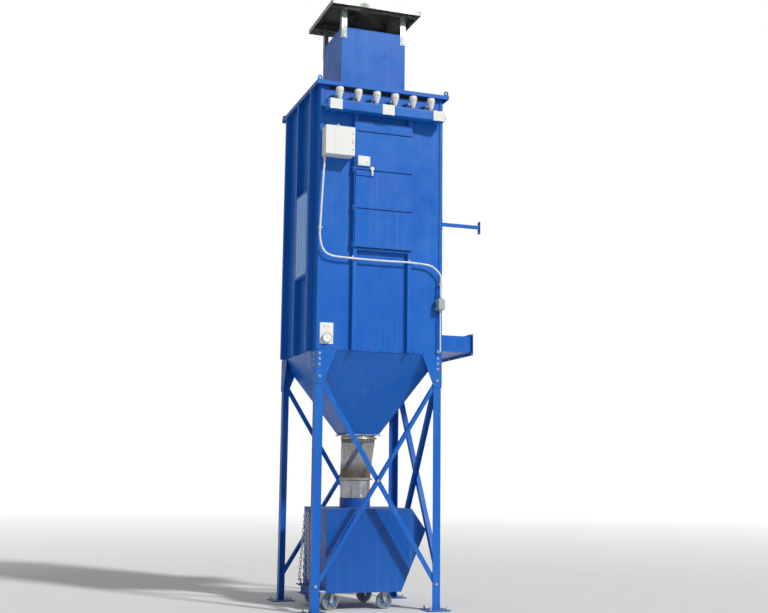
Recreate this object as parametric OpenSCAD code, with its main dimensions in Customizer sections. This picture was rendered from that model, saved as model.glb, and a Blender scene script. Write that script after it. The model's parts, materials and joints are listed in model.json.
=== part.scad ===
// Pulse-jet baghouse dust collector: a ribbed sheet-steel housing on four braced angle legs,
// with a pyramid hopper, a clear sleeve and a wheeled dust bin under it, and an exhaust
// stack with a rain cap on its roof.
// Millimetres. X runs to the right along the front, Y into the depth and Z up.
// The origin is the centre of the frame's footprint, on the floor.

/* [Housing] */
// Width of the housing across its front
housing_w = 1640; // [1600:10:1760]
// Depth of the housing from front to back
housing_d = 1630; // [1600:10:1760]
// Height of the housing's lower edge above the floor
housing_z = 3120; // [3060:10:3300]
// Height of the housing from its lower edge to the roof
housing_h = 3370; // [3340:10:3500]
// Thickness of the housing's sheet
sheet_t = 5; // [4:1:8]
// Width of the flange strips along the front corners
corner_strip_w = 42; // [30:1:60]
// How far the corner strips stand off the wall
corner_strip_t = 10; // [6:1:16]

/* [Ribs] */
// Width of a wall rib
rib_w = 50; // [40:1:60]
// How far the front ribs stand off the wall
front_rib_d = 55; // [45:1:70]
// How far the side and back ribs stand off the wall
side_rib_d = 75; // [50:1:90]
// Sheet thickness of a rib
rib_t = 4; // [3:0.5:6]
// Distance from the middle of the front to the centre of a front rib
front_rib_x = 360; // [340:5:380]
// Spacing of the side and back ribs
side_rib_pitch = 600; // [590:5:640]

/* [Roof] */
// Thickness of the roof plate
roof_t = 5; // [4:1:8]
// How far the roof's rim stands out past the walls
roof_rim_out = 65; // [50:1:90]
// Height of the roof's rim
roof_rim_h = 50; // [40:1:60]
// Height of a lifting lug
lug_h = 60; // [50:1:80]
// Thickness of a lifting lug
lug_t = 10; // [8:1:14]
// Diameter of the eye in a lifting lug
lug_eye_d = 24; // [18:1:28]
// Distance from the roof's rim in to a lifting lug
lug_in = 6; // [4:1:12]

/* [Stack and rain cap] */
// Width of the exhaust stack
stack_w = 880; // [800:10:960]
// Depth of the exhaust stack
stack_d = 845; // [780:5:920]
// Height of the exhaust stack above the roof
stack_h = 920; // [800:10:1100]
// Sheet thickness of the stack and its cap
stack_t = 4; // [3:0.5:6]
// Leg of the angle that fastens the stack to the roof
stack_foot_w = 40; // [30:1:60]
// Width of a cap post's flanges
post_w = 75; // [50:1:90]
// Thickness of a cap post
post_t = 5; // [4:1:8]
// How far the cap posts lap down over the stack
post_lap = 140; // [100:5:200]
// Open height between the stack and the rain cap
cap_gap = 250; // [200:5:300]
// Width of the rain cap
cap_w = 1220; // [1140:10:1340]
// Depth of the rain cap
cap_d = 1140; // [1080:10:1260]
// Height of the rain cap's upright edge
cap_edge_h = 60; // [50:1:80]
// Rise of the rain cap from its edge to its peak
cap_rise = 80; // [60:1:140]
// Height of the bars across the inside of the rain cap
cap_bar_h = 40; // [30:1:55]

/* [Hopper and outlet] */
// Height of the hopper
hopper_h = 990; // [900:10:1040]
// Outside width of the hopper at its outlet
outlet_w = 420; // [380:5:460]
// Horizontal thickness of the hopper's sheet
hopper_t = 5; // [4:1:8]
// Height of the hopper's lip inside the housing
hopper_lip_h = 40; // [30:1:60]
// Width of the square plate under the hopper
outlet_plate_w = 470; // [466:1:500]
// Thickness of the square plate under the hopper
outlet_plate_t = 8; // [6:1:12]
// Outside diameter of the outlet's spigot
spigot_d = 424; // [400:2:430]
// Length of the outlet's spigot
spigot_h = 90; // [70:5:110]
// Wall of the spigot, the band and the bin's collar
spigot_t = 5; // [3:1:8]

/* [Sleeve] */
// Wall of the clear sleeve
sleeve_t = 4; // [3:0.5:6]
// Length of the sleeve's straight cuff over the band
cuff_h = 60; // [50:5:65]
// Outside diameter of the galvanised band
band_d = 380; // [340:2:390]
// Height of the galvanised band
band_h = 366; // [340:2:400]
// Height of the band's lower edge above the bin's lid
band_up = 30; // [20:1:50]
// Gap between the outlet's plate and the sleeve's upper edge
sleeve_drop = 12; // [6:1:20]
// Distance from the sleeve's edge in to a clamp ring
clamp_in = 8; // [4:1:16]
// Height of a clamp ring
clamp_h = 28; // [20:1:36]
// Thickness of a clamp ring
clamp_t = 4; // [3:0.5:6]
// Length of the clamp ring's toggle
toggle_l = 90; // [70:5:120]
// How far the toggle stands out from its ring
toggle_d = 16; // [10:1:24]

/* [Legs and braces] */
// Width of a leg angle's flanges
leg_w = 100; // [90:5:120]
// Thickness of a leg angle
leg_t = 8; // [6:1:10]
// Width of a corner gusset at the housing
gusset_w = 260; // [220:10:300]
// Height of a corner gusset
gusset_h = 410; // [360:10:460]
// Side of a square base plate
base_w = 300; // [260:10:320]
// Thickness of a base plate
base_t = 12; // [10:1:20]
// Distance from a leg's heel in to the middle of its base plate
base_in = 45; // [35:1:60]
// Distance from the middle of a base plate to its anchor holes
anchor_out = 105; // [90:1:115]
// Diameter of an anchor hole
anchor_d = 22; // [18:1:26]
// Width of a brace angle's flanges
brace_w = 60; // [50:1:64]
// Thickness of a brace angle
brace_t = 6; // [5:0.5:8]
// Height of the braces' lower bolts
brace_low_z = 315; // [280:5:400]
// Depth of the braces' upper bolts below the housing
brace_top_drop = 325; // [300:5:380]
// Gap between a leg and the standing flange of a brace
brace_clear = 6; // [3:1:20]

/* [Access door] */
// Half width of the access covers
door_half_w = 384; // [376:1:396]
// Height of the lowest cover's lower edge above the housing's lower edge
door_z = 1280; // [1200:10:1400]
// Height of one access cover with its seam
cover_pitch = 493; // [460:1:510]
// Number of access covers
cover_count = 3; // [2:1:3]
// Depth of an access cover
cover_d = 15; // [12:1:24]
// Sheet thickness of an access cover
cover_t = 3; // [2:0.5:4]
// Gap between two access covers
cover_gap = 5; // [3:1:8]
// Height of the frame's bars across the ribs
door_bar_h = 60; // [50:1:80]
// Thickness of the header plate over the covers
header_t = 5; // [4:1:8]
// Gap between the header plate and the manifold over it
header_drop = 79; // [70:1:90]
// Distance from a front rib in to the edge of the holes behind the covers
bay_in = 20; // [10:1:40]
// Diameter of the hinge rod
hinge_rod_d = 14; // [10:1:18]
// Diameter of a hinge knuckle
knuckle_d = 26; // [22:1:32]
// Height of a hinge knuckle
knuckle_h = 64; // [50:1:90]
// Distance from the cover's left edge to the latch's case
latch_in = 34; // [24:1:60]
// Height of the latch's case above the seam
latch_up = 47; // [30:1:60]
// Width of the latch's case
latch_w = 160; // [140:1:190]
// Height of the latch's case
latch_h = 125; // [90:1:140]
// Depth of the latch's case
latch_d = 26; // [20:1:36]
// Distance from the hinge's rod to the keeper under the latch's seam
keeper_in = 18; // [16:1:24]
// Width of the keeper
keeper_w = 240; // [220:5:250]
// Height of the keeper
keeper_h = 62; // [50:1:75]
// Thickness of the keeper
keeper_t = 12; // [8:1:20]
// Distance from the seam down to the keeper
keeper_drop = 12; // [8:1:20]
// Distance from the keeper's right end to the middle of the lever
lever_in = 35; // [32:1:40]
// Width of the latch's lever
lever_w = 22; // [16:1:30]
// Height of the latch's lever up to its knob
lever_h = 92; // [80:1:100]
// Thickness of the latch's lever
lever_t = 20; // [14:1:26]
// Diameter of the knob at the lever's top
lever_knob_d = 54; // [44:1:56]

/* [Vent] */
// Height of the vent frame's lower edge above the housing's lower edge
vent_z = 950; // [900:10:1100]
// Height of the vent frame
vent_h = 1085; // [1000:5:1200]
// Gap between the vent frame and the ribs beside it
vent_gap = 2; // [1:1:10]
// Sheet thickness of the vent frame
vent_frame_t = 5; // [4:1:8]
// Width of the vent frame's seat
vent_seat_w = 25; // [20:1:40]
// Thickness of the vent panel
vent_panel_t = 3; // [2:0.5:4]

/* [Pulse gear] */
// Side of the square air manifold
manifold_w = 125; // [110:1:135]
// Length of the air manifold
manifold_l = 1560; // [1480:10:1590]
// Depth of the manifold's top below the roof
manifold_drop = 266; // [260:1:300]
// Gap between the manifold and the wall
manifold_off = 60; // [50:1:80]
// Radius of the manifold's edges
manifold_r = 12; // [6:1:18]
// Width of a manifold clamp
manifold_clamp_w = 60; // [40:1:80]
// Thickness of a manifold clamp
manifold_clamp_t = 4; // [3:0.5:6]
// Distance from the middle clamp to an outer manifold clamp
manifold_clamp_x = 686; // [675:1:695]
// Distance of the middle manifold clamp to the right of the housing's middle
manifold_clamp_mid = 15; // [0:1:25]
// Width of the plate on a manifold clamp's front
manifold_plate_w = 160; // [120:5:165]
// Length of the stub on each end of the manifold
stub_l = 30; // [20:1:32]
// Diameter of the stub on each end of the manifold
stub_d = 34; // [26:1:48]
// Number of pulse valves
valve_count = 6; // [4:2:6]
// Spacing of the pulse valves
valve_pitch = 244; // [200:2:246]
// Diameter of a valve's flange
valve_d = 102; // [90:2:110]
// Height of a valve above the manifold
valve_h = 180; // [165:1:190]
// Diameter of a valve's foot
valve_foot_d = 50; // [46:1:60]
// Height of a valve's foot
valve_foot_h = 26; // [16:1:36]
// Thickness of a valve's flange
valve_flange_h = 26; // [16:1:34]
// Height of a valve's cap above its flange
valve_cap_h = 36; // [24:1:44]
// How far a valve's flange stands out of its body
valve_lip = 7; // [4:1:10]
// Diameter of a valve's outlet pipe
valve_pipe_d = 42; // [34:1:48]
// Height of the outlet pipe's middle above the manifold
valve_pipe_z = 76; // [64:1:84]

/* [Controls] */
// Width of the control box
control_w = 367; // [320:1:380]
// Height of the control box
control_h = 352; // [320:1:400]
// Depth of the control box
control_d = 190; // [160:5:220]
// Depth of the control box's door
control_door_d = 28; // [20:1:40]
// How far the control box's door laps over its sides
control_lap = 4; // [2:1:6]
// Height of the control box's two mounting pads
control_pad_h = 40; // [30:1:60]
// Width of the handle on the control box's door
control_handle_w = 18; // [12:1:24]
// Height of the handle on the control box's door
control_handle_h = 48; // [36:1:70]
// How far the handle stands off the control box's door
control_handle_out = 8; // [5:1:14]
// Depth of the control box's lower edge below the roof
control_drop = 970; // [940:5:1000]
// Distance from the front's left edge to the control box
control_in = 24; // [16:1:40]
// Diameter of the upper conduit
conduit_d = 25; // [20:1:30]
// Distance from the control box's left side in to the upper conduit
conduit_in = 20; // [16:1:40]
// Depth of the conduit's level run below the lowest cover
run_drop = 122; // [100:2:160]
// Diameter of the lower conduit
thin_conduit_d = 18; // [14:1:22]
// Width of the junction box
junction_w = 84; // [70:1:90]
// Height of the junction box
junction_h = 140; // [110:5:160]
// Depth of the junction box
junction_d = 95; // [90:1:110]
// Height of the junction box above the housing's lower edge
junction_up = 560; // [500:10:640]
// Height of the lower conduit's turn above the housing's lower edge
conduit_up = 40; // [30:1:80]
// Width of the gauge's plate
gauge_plate_w = 170; // [140:5:190]
// Height of the gauge's plate
gauge_plate_h = 260; // [220:5:280]
// Thickness of the gauge's plate
gauge_plate_t = 3; // [2:0.5:5]
// Distance from the front's left edge to the gauge's plate
gauge_in = 45; // [43:1:60]
// Height of the gauge's plate above the housing's lower edge
gauge_up = 70; // [40:5:100]
// Height of the gauge's lower edge above its plate's lower edge
gauge_low = 12; // [6:1:30]
// Diameter of the pressure gauge
gauge_d = 120; // [100:5:140]
// Depth of the pressure gauge
gauge_depth = 45; // [35:1:60]

/* [Inlet and wall tie] */
// Distance from the right wall to the open end of the inlet duct
inlet_l = 536; // [400:2:600]
// Width of the inlet duct
inlet_w = 1100; // [900:10:1110]
// Height of the inlet duct
inlet_h = 210; // [180:5:260]
// Height of the inlet duct above the housing's lower edge
inlet_up = 80; // [60:5:120]
// Gap between the inlet duct and the ribs over it
inlet_rib_gap = 20; // [10:1:40]
// Sheet thickness of the inlet duct
inlet_t = 4; // [3:0.5:6]
// Width of the inlet duct's flange
inlet_flange_w = 35; // [30:1:50]
// Thickness of the inlet duct's flange
inlet_flange_t = 6; // [5:1:10]
// Diameter of a bolt hole in the inlet's flange
inlet_hole_d = 11; // [9:1:14]
// Distance from the middle to the flange's inner bolt holes
inlet_hole_y = 190; // [150:5:250]
// Height of the wall tie above the housing's lower edge
tie_up = 1680; // [1500:10:2000]
// Flange width of the wall tie's angle
tie_w = 50; // [40:1:60]
// Thickness of the wall tie's angle
tie_t = 5; // [4:1:8]
// Height of the wall tie's end plates
tie_plate_h = 160; // [140:5:200]
// Width of the wall tie's end plates
tie_plate_w = 70; // [64:1:90]
// Distance from a hole to the end of the wall tie's plate
tie_hole_in = 25; // [20:1:40]
// Distance from the wall tie's plate edge to its angle
tie_in = 10; // [5:1:12]
// Thickness of the wall tie's end plates
tie_plate_t = 8; // [6:1:12]
// Diameter of a hole in the wall tie's plate
tie_hole_d = 14; // [10:1:18]

/* [Dust bin] */
// Distance from the origin to the bin's left wall
bin_left = 565; // [540:5:590]
// Distance from the origin to the right end of the bin's top
bin_top_right = 537; // [500:5:560]
// Distance from the origin to the tip of the bin's nose
bin_nose = 720; // [680:5:725]
// Distance from the origin to the right end of the bin's bottom
bin_low_right = 400; // [360:5:420]
// Height of the bin's top
bin_top_z = 1210; // [1150:5:1260]
// Height of the bin's nose
bin_nose_z = 955; // [900:5:1000]
// Height of the lower edge of the bin's side plates
bin_skirt_z = 210; // [209:1:225]
// Width of the bin across its side plates
bin_d = 1000; // [900:10:1040]
// Distance of the bin's middle in front of the origin
bin_forward = 60; // [40:5:80]
// Thickness of the bin's sheet
bin_t = 5; // [4:1:8]
// Height of the lid's rim
lid_rim_h = 28; // [20:1:40]
// Thickness of the lid's sheet
lid_t = 4; // [3:0.5:6]
// Height of the bin's collar above the lid
bin_collar_h = 120; // [100:5:140]
// Distance of the bin's collar to the left of the origin
collar_left = 30; // [0:5:40]
// Distance from the bin's side plates in to the deck's edge
deck_in = 20; // [10:1:40]
// Thickness of the bin's deck
deck_t = 8; // [6:1:12]
// Width of the channel along the deck's left end
end_channel_w = 50; // [40:1:60]
// Height of the channel along the deck's left end
end_channel_h = 100; // [80:1:120]
// Length of the channel along the deck's left end
end_channel_l = 800; // [700:10:860]
// Distance from the bin's left wall out to the channel's left side
end_channel_out = 105; // [100:1:120]

/* [Chain] */
// Diameter of the chain's wire
wire_d = 10; // [8:0.5:11]
// Pitch of the chain
link_pitch = 46; // [42:0.5:52]
// Outside width of a chain link
link_w = 36; // [34:0.5:40]
// Number of strands of chain
strand_count = 3; // [2:1:3]
// Distance from the origin back to the first strand's hook
strand_back = 160; // [120:5:180]
// Spacing of the strands at their hooks
hook_pitch = 75; // [60:1:80]
// How far the last strand's foot lies in front of its hook
foot_forward = 280; // [240:5:300]
// Spacing of the strands at their feet
foot_pitch = 210; // [180:5:215]
// Distance from the bin's left wall out to the chain at its hooks
hook_off = 30; // [28:1:36]
// Distance from the bin's left wall out to the chain at its feet
foot_off = 95; // [85:1:98]
// Diameter of a hook pin
hook_d = 10; // [8:0.5:11]
// Thickness of the hooks' strip and of the lugs at the chain's feet
hook_strip_t = 6; // [4:1:8]
// How far a hook pin runs past its link
hook_past = 3; // [2:0.5:6]
// Height of the hooks' strip
hook_strip_h = 30; // [24:1:36]
// Depth of the hooks below the bin's top
hook_drop = 50; // [48:1:80]
// Width of a lug at the chain's foot
foot_lug_w = 40; // [30:1:50]

/* [Casters] */
// Diameter of a caster wheel
wheel_d = 203.2; // [200:0.2:203.2]
// Width of a wheel's tread
tread_w = 44; // [40:1:46]
// Width of a wheel's hub
hub_w = 53; // [51:1:54]
// Diameter of a wheel's hub
hub_d = 44; // [36:1:50]
// Diameter of a wheel's axle
axle_d = 12.6; // [11.6:0.1:13.6]
// Trail of a swivel caster
trail = 38; // [30:1:42]
// Thickness of a fork's sides
fork_t = 5; // [4:0.5:6]
// Diameter of the crown over a swivel fork
crown_d = 90; // [84:1:100]
// Thickness of a fork's crown
crown_t = 8; // [6:0.5:8]
// Diameter of the kingpin
kingpin_d = 20; // [16:0.5:22]
// Thickness of the race over the crown
race_h = 12; // [10:0.5:14]
// Thickness of a caster's top plate
top_plate_t = 6; // [5:0.5:8]
// Length of a caster's top plate
top_plate_l = 115; // [110:1:125]
// Width of a caster's top plate
top_plate_w = 100; // [96:1:110]
// Distance from the origin to the swivel casters' pivots
swivel_x = 434; // [420:2:450]
// Distance from the origin to the rigid casters' axles
rigid_x = 220; // [200:5:240]
// Distance from the bin's side plates in to each line of casters
caster_in = 115; // [100:5:140]
// Radius of a fork's boss round the axle
axle_boss_r = 19; // [16:1:22]
// Radius of an axle nut
axle_nut_r = 10; // [9:1:12]
// Thickness of an axle nut
axle_nut_t = 7; // [5:1:9]
// Half length of a swivel fork's sides at the crown
swivel_side = 26; // [22:1:30]
// Half length of a rigid fork's sides at the top
rigid_side = 40; // [34:1:46]
// Gap between a wheel's tread and the crown over it
wheel_gap = 11.3; // [9:0.1:14]
// Depth of the kingpin's head under the crown
kingpin_head = 5; // [3:0.5:6]

/* [Clearances] */
// Gap between a piece and its seat
seat_gap = 0.3; // [0.2:0.05:0.5]
// Radial gap between a pin and its bore
pin_gap = 0.05; // [0.03:0.01:0.1]
// Gap between a wheel's hub and the fork beside it
hub_gap = 1; // [0.6:0.1:1.5]
// Gap between the crown and what it turns against
crown_gap = 0.5; // [0.4:0.1:1]
// Gap between a hook pin and the link on it
hook_gap = 0.6; // [0.5:0.1:1]

/* [Hidden] */
$fn = 64;

PAINT = [0.10, 0.31, 0.64];
PALE = [0.62, 0.70, 0.78];
WHITE = [0.86, 0.87, 0.86];
ZINC = [0.72, 0.74, 0.75];
CLEAR = [0.72, 0.66, 0.52, 0.6];
GREY = [0.55, 0.57, 0.58];

// Small overlap that lets one cut run clean through a face
cut = 1;

half_w = housing_w / 2;
half_d = housing_d / 2;
roof_z = housing_z + housing_h;
wall_h = housing_h - roof_t;
front_y = -half_d;

// Heels of the legs, one sheet inside the housing's faces
heel_x = half_w - sheet_t;
heel_y = half_d - sheet_t;

// The hopper's rate of taper, in and down, on its steeper side
hopper_rate = min(heel_x - outlet_w / 2, heel_y - outlet_w / 2) / hopper_h;
leg_top = housing_z - (leg_t + seat_gap) / hopper_rate;
outlet_z = housing_z - hopper_h;

stack_top = roof_z + stack_h;
cap_z = stack_top + cap_gap;

// Access door, seen from the front
door_y = front_y - front_rib_d;
door_low = housing_z + door_z;
door_top = door_low + cover_count * cover_pitch;
cover_left = -door_half_w + knuckle_d / 2 + 1;

bin_y = -bin_forward;
bin_y0 = bin_y - bin_d / 2;
bin_y1 = bin_y + bin_d / 2;

// Heights through a caster, from the wheel up to the deck
wheel_r = wheel_d / 2;
crown_z = wheel_d + wheel_gap;
race_z = crown_z + crown_t + crown_gap;
top_plate_z = race_z + race_h;
deck_z = top_plate_z + top_plate_t;
fork_in = hub_w / 2 + hub_gap;
front_caster_y = bin_y0 + caster_in;
back_caster_y = bin_y1 - caster_in;

// Outlet, sleeve and band, from the hopper down to the bin
spigot_top = outlet_z - outlet_plate_t;
spigot_low = spigot_top - spigot_h;
sleeve_top = spigot_top - sleeve_drop;
top_cuff_h = sleeve_top - spigot_low + seat_gap;
band_low = bin_top_z + lid_t + band_up;
band_top = band_low + band_h;
sleeve_low = band_top + seat_gap - cuff_h;

// Pulse gear over the door
manifold_top = roof_z - manifold_drop;
manifold_y = front_y - manifold_off - manifold_w / 2;

// Front face of the conduits, just clear of the front ribs
conduit_y = door_y - seat_gap - conduit_d / 2;
control_x = -half_w + control_in;
control_z = roof_z - control_drop;
control_back = front_y - corner_strip_t;
junction_x = half_w - junction_w;
junction_z = housing_z + junction_up;
junction_back = front_y - corner_strip_t;

// A point on a smooth curve through four points, a share t of the way from b to c
function smooth(a, b, c, d, t) =
    0.5 * ((2 * b) + (c - a) * t + (2 * a - 5 * b + 4 * c - d) * t * t
    + (3 * b - a - 3 * c + d) * t * t * t);

// The points of a smooth curve through a list of points, with some steps between each two
function curve(points, steps) =
    let (last = len(points) - 1)
    [for (i = [0 : last - 1], s = [0 : steps - 1])
        smooth(points[max(i - 1, 0)], points[i], points[i + 1], points[min(i + 2, last)], s / steps),
     points[last]];

// A tube along a list of [x, z] points in the plane y = 0
module flat_tube(path, radius, sides) {
    last = len(path) - 1;
    rings = [for (i = [0 : last])
        let (ahead = path[min(i + 1, last)] - path[max(i - 1, 0)],
             along = ahead / norm(ahead))
        for (k = [0 : sides - 1])
            let (a = 360 * k / sides)
            [path[i][0] - along[1] * radius * cos(a), radius * sin(a),
             path[i][1] + along[0] * radius * cos(a)]];
    faces = concat(
        [[for (k = [0 : sides - 1]) k]],
        [for (i = [0 : last - 1], k = [0 : sides - 1])
            let (n = (k + 1) % sides)
            [i * sides + k, (i + 1) * sides + k, (i + 1) * sides + n, i * sides + n]],
        [[for (k = [sides - 1 : -1 : 0]) last * sides + k]]);
    polyhedron(points = rings, faces = faces, convexity = 6);
}

// A ring round the Z axis
module ring(outer_d, inner_d, height) {
    difference() {
        cylinder(d = outer_d, h = height);
        translate([0, 0, -cut]) cylinder(d = inner_d, h = height + 2 * cut);
    }
}

// A copy in each corner, mirrored from the one at the back right
module in_corners() {
    for (x = [0, 1], y = [0, 1]) mirror([x, 0, 0]) mirror([0, y, 0]) children();
}

// A folded rib on a wall that faces -Y, its outside at y = 0
module wall_rib(length, depth) {
    difference() {
        translate([-rib_w / 2, -depth, 0]) cube([rib_w, depth, length]);
        translate([-rib_w / 2 + rib_t, -depth + rib_t, -cut])
            cube([rib_w - 2 * rib_t, depth - rib_t, length + 2 * cut]);
    }
}

// The three ribs of a side or back wall that faces -Y
module three_ribs(low) {
    for (i = [-1 : 1]) translate([i * side_rib_pitch, 0, housing_z + low])
        wall_rib(wall_h - roof_rim_h - low, side_rib_d);
}

// The bays behind the covers, as [low z, high z] of the hole in the wall
function bay_low(i) = door_low + i * cover_pitch + door_bar_h / 2;
bay_h = cover_pitch - door_bar_h;
bay_half_w = front_rib_x - rib_w / 2 - bay_in;

module front_panel() color(PAINT) {
    difference() {
        translate([-half_w, front_y, housing_z]) cube([housing_w, sheet_t, wall_h]);
        for (i = [0 : cover_count - 1]) translate([-bay_half_w, front_y - cut, bay_low(i)])
            cube([2 * bay_half_w, sheet_t + 2 * cut, bay_h]);
    }
    for (side = [-1, 1]) translate([side * front_rib_x, front_y, housing_z])
        wall_rib(manifold_top - manifold_w / 2 - housing_z, front_rib_d);
    for (side = [0, 1]) mirror([side, 0, 0])
        translate([half_w - corner_strip_w, front_y - corner_strip_t, housing_z])
            cube([corner_strip_w, corner_strip_t, wall_h - roof_rim_h]);
}

// A side wall between the front and back walls, facing -Y before it is turned
module side_wall() {
    translate([-half_d + sheet_t, -half_w, housing_z])
        cube([housing_d - 2 * sheet_t, sheet_t, wall_h]);
}

module left_panel() color(PAINT) rotate([0, 0, -90]) {
    difference() {
        side_wall();
        translate([vent_y0 + vent_frame_t, -half_w - cut, housing_z + vent_z + vent_frame_t])
            cube([vent_w - 2 * vent_frame_t, sheet_t + 2 * cut, vent_h - 2 * vent_frame_t]);
    }
    translate([0, -half_w, 0]) three_ribs(0);
}

module right_panel() color(PAINT) rotate([0, 0, 90]) {
    difference() {
        side_wall();
        translate([-inlet_w / 2 + inlet_t, -half_w - cut, housing_z + inlet_up + inlet_t])
            cube([inlet_w - 2 * inlet_t, sheet_t + 2 * cut, inlet_h - 2 * inlet_t]);
    }
    translate([0, -half_w, 0]) three_ribs(inlet_up + inlet_h + inlet_rib_gap);
}

module back_panel() color(PAINT) rotate([0, 0, 180]) {
    translate([-half_w, -half_d, housing_z]) cube([housing_w, sheet_t, wall_h]);
    translate([0, -half_d, 0]) three_ribs(0);
}

// The roof, a tray turned down over the tops of the walls' ribs
module roof_panel() color(PAINT) {
    out_w = housing_w + 2 * roof_rim_out;
    out_d = housing_d + 2 * roof_rim_out;
    difference() {
        translate([-out_w / 2, -out_d / 2, roof_z - roof_rim_h]) cube([out_w, out_d, roof_rim_h]);
        translate([-out_w / 2 + roof_t, -out_d / 2 + roof_t, roof_z - roof_rim_h - cut])
            cube([out_w - 2 * roof_t, out_d - 2 * roof_t, roof_rim_h - roof_t + cut]);
        translate([-stack_w / 2 + stack_t, -stack_d / 2 + stack_t, roof_z - roof_t - cut])
            cube([stack_w - 2 * stack_t, stack_d - 2 * stack_t, roof_t + 2 * cut]);
    }
}

module lifting_lugs() color(PAINT) in_corners()
    translate([half_w + roof_rim_out - lug_h - lug_in, half_d + roof_rim_out - lug_t - lug_in,
               roof_z])
        rotate([90, 0, 0]) translate([0, 0, -lug_t]) difference() {
            union() {
                cube([lug_h, lug_h / 2, lug_t]);
                translate([lug_h / 2, lug_h / 2, 0]) cylinder(d = lug_h, h = lug_t);
            }
            translate([lug_h / 2, lug_h / 2, -cut]) cylinder(d = lug_eye_d, h = lug_t + 2 * cut);
        }

module exhaust_stack() color(PAINT) difference() {
    union() {
        translate([-stack_w / 2, -stack_d / 2, roof_z]) cube([stack_w, stack_d, stack_h]);
        translate([-stack_w / 2 - stack_foot_w, -stack_d / 2 - stack_foot_w, roof_z])
            cube([stack_w + 2 * stack_foot_w, stack_d + 2 * stack_foot_w, stack_t]);
    }
    translate([-stack_w / 2 + stack_t, -stack_d / 2 + stack_t, roof_z - cut])
        cube([stack_w - 2 * stack_t, stack_d - 2 * stack_t, stack_h + 2 * cut]);
}

// Angle posts that lap over the stack's corners and carry the cap by its bars
module cap_posts() color(ZINC) in_corners()
    translate([stack_w / 2, stack_d / 2, stack_top - post_lap]) {
        post_l = post_lap + cap_gap + cap_bar_h;
        translate([-post_w + post_t, 0, 0]) cube([post_w, post_t, post_l]);
        translate([0, -post_w + post_t, 0]) cube([post_t, post_w, post_l]);
    }

// The cap's outline seen from one side, as wide as w and set in by t
module cap_outline(w, t) polygon([
    [-w / 2 + t, -cut * sign(t)], [w / 2 - t, -cut * sign(t)], [w / 2 - t, cap_edge_h - t / 2],
    [0, cap_edge_h + cap_rise - t], [-w / 2 + t, cap_edge_h - t / 2]]);

// The space inside two crossing outlines, which makes the hipped top
module hipped(t) intersection() {
    translate([0, cap_d / 2 - t, 0]) rotate([90, 0, 0])
        linear_extrude(cap_d - 2 * t) cap_outline(cap_w, t);
    translate([-cap_w / 2 + t, 0, 0]) rotate([90, 0, 90])
        linear_extrude(cap_w - 2 * t) cap_outline(cap_d, t);
}

module rain_cap() color(ZINC) translate([0, 0, cap_z]) {
    difference() {
        hipped(0);
        hipped(stack_t);
    }
    for (side = [0, 1]) mirror([0, side, 0])
        translate([-cap_w / 2 + stack_t, stack_d / 2 + post_t, 0])
            cube([cap_w - 2 * stack_t, post_t, cap_bar_h]);
}

// One sloping plate of the hopper, facing -Y, with the lip that stands inside the housing
module hopper_plate(half_top, reach_top) {
    half_low = outlet_w / 2;
    points = [
        [-half_low, -half_low, outlet_z], [half_low, -half_low, outlet_z],
        [half_low - hopper_t, -half_low + hopper_t, outlet_z],
        [-half_low + hopper_t, -half_low + hopper_t, outlet_z],
        [-half_top, -reach_top, housing_z], [half_top, -reach_top, housing_z],
        [half_top - hopper_t, -reach_top + hopper_t, housing_z],
        [-half_top + hopper_t, -reach_top + hopper_t, housing_z]];
    polyhedron(points = points, faces = [
        [0, 1, 2, 3], [7, 6, 5, 4], [0, 4, 5, 1], [1, 5, 6, 2], [2, 6, 7, 3], [3, 7, 4, 0]]);
    translate([-half_top + hopper_t, -reach_top, housing_z])
        cube([2 * (half_top - hopper_t), hopper_t, hopper_lip_h]);
}

module hopper_end_plates() color(PAINT) for (turn = [0, 180])
    rotate([0, 0, turn]) hopper_plate(heel_x, heel_y);

module hopper_side_plates() color(PAINT) for (turn = [90, 270])
    rotate([0, 0, turn]) hopper_plate(heel_y, heel_x);

module outlet_collar() color(ZINC) {
    difference() {
        translate([-outlet_plate_w / 2, -outlet_plate_w / 2, spigot_top])
            cube([outlet_plate_w, outlet_plate_w, outlet_plate_t]);
        translate([0, 0, spigot_top - cut])
            cylinder(d = spigot_d - 2 * spigot_t, h = outlet_plate_t + 2 * cut);
    }
    translate([0, 0, spigot_low])
        ring(spigot_d, spigot_d - 2 * spigot_t, spigot_h + outlet_plate_t / 2);
}

// The sleeve's inside or outside, grown by t from the spigot and the band
module sleeve_form(t, over) {
    top_d = spigot_d + 2 * seat_gap + 2 * t;
    low_d = band_d + 2 * seat_gap + 2 * t;
    translate([0, 0, sleeve_top - top_cuff_h]) cylinder(d = top_d, h = top_cuff_h + over);
    translate([-collar_left, 0, sleeve_low - over]) cylinder(d = low_d, h = cuff_h + over);
    hull() {
        translate([0, 0, sleeve_top - top_cuff_h]) cylinder(d = top_d, h = 0.01);
        translate([-collar_left, 0, sleeve_low + cuff_h]) cylinder(d = low_d, h = 0.01);
    }
}

module clear_sleeve() color(CLEAR) difference() {
    sleeve_form(sleeve_t, 0);
    sleeve_form(0, cut);
}

// A clamp ring with a toggle on its right, round a cuff of the sleeve
module clamp_ring(cuff_d) {
    inner_d = cuff_d + 2 * sleeve_t + 4 * seat_gap;
    outer_d = inner_d + 2 * clamp_t;
    difference() {
        union() {
            cylinder(d = outer_d, h = clamp_h);
            translate([outer_d / 2 - clamp_t, -toggle_l / 2, clamp_h / 4])
                cube([clamp_t + toggle_d, toggle_l, clamp_h / 2]);
        }
        translate([0, 0, -cut]) cylinder(d = inner_d, h = clamp_h + 2 * cut);
    }
}

module sleeve_clamps() color(ZINC) {
    translate([0, 0, sleeve_top - clamp_h - clamp_in]) clamp_ring(spigot_d);
    translate([-collar_left, 0, sleeve_low + clamp_in]) clamp_ring(band_d);
}

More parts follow.
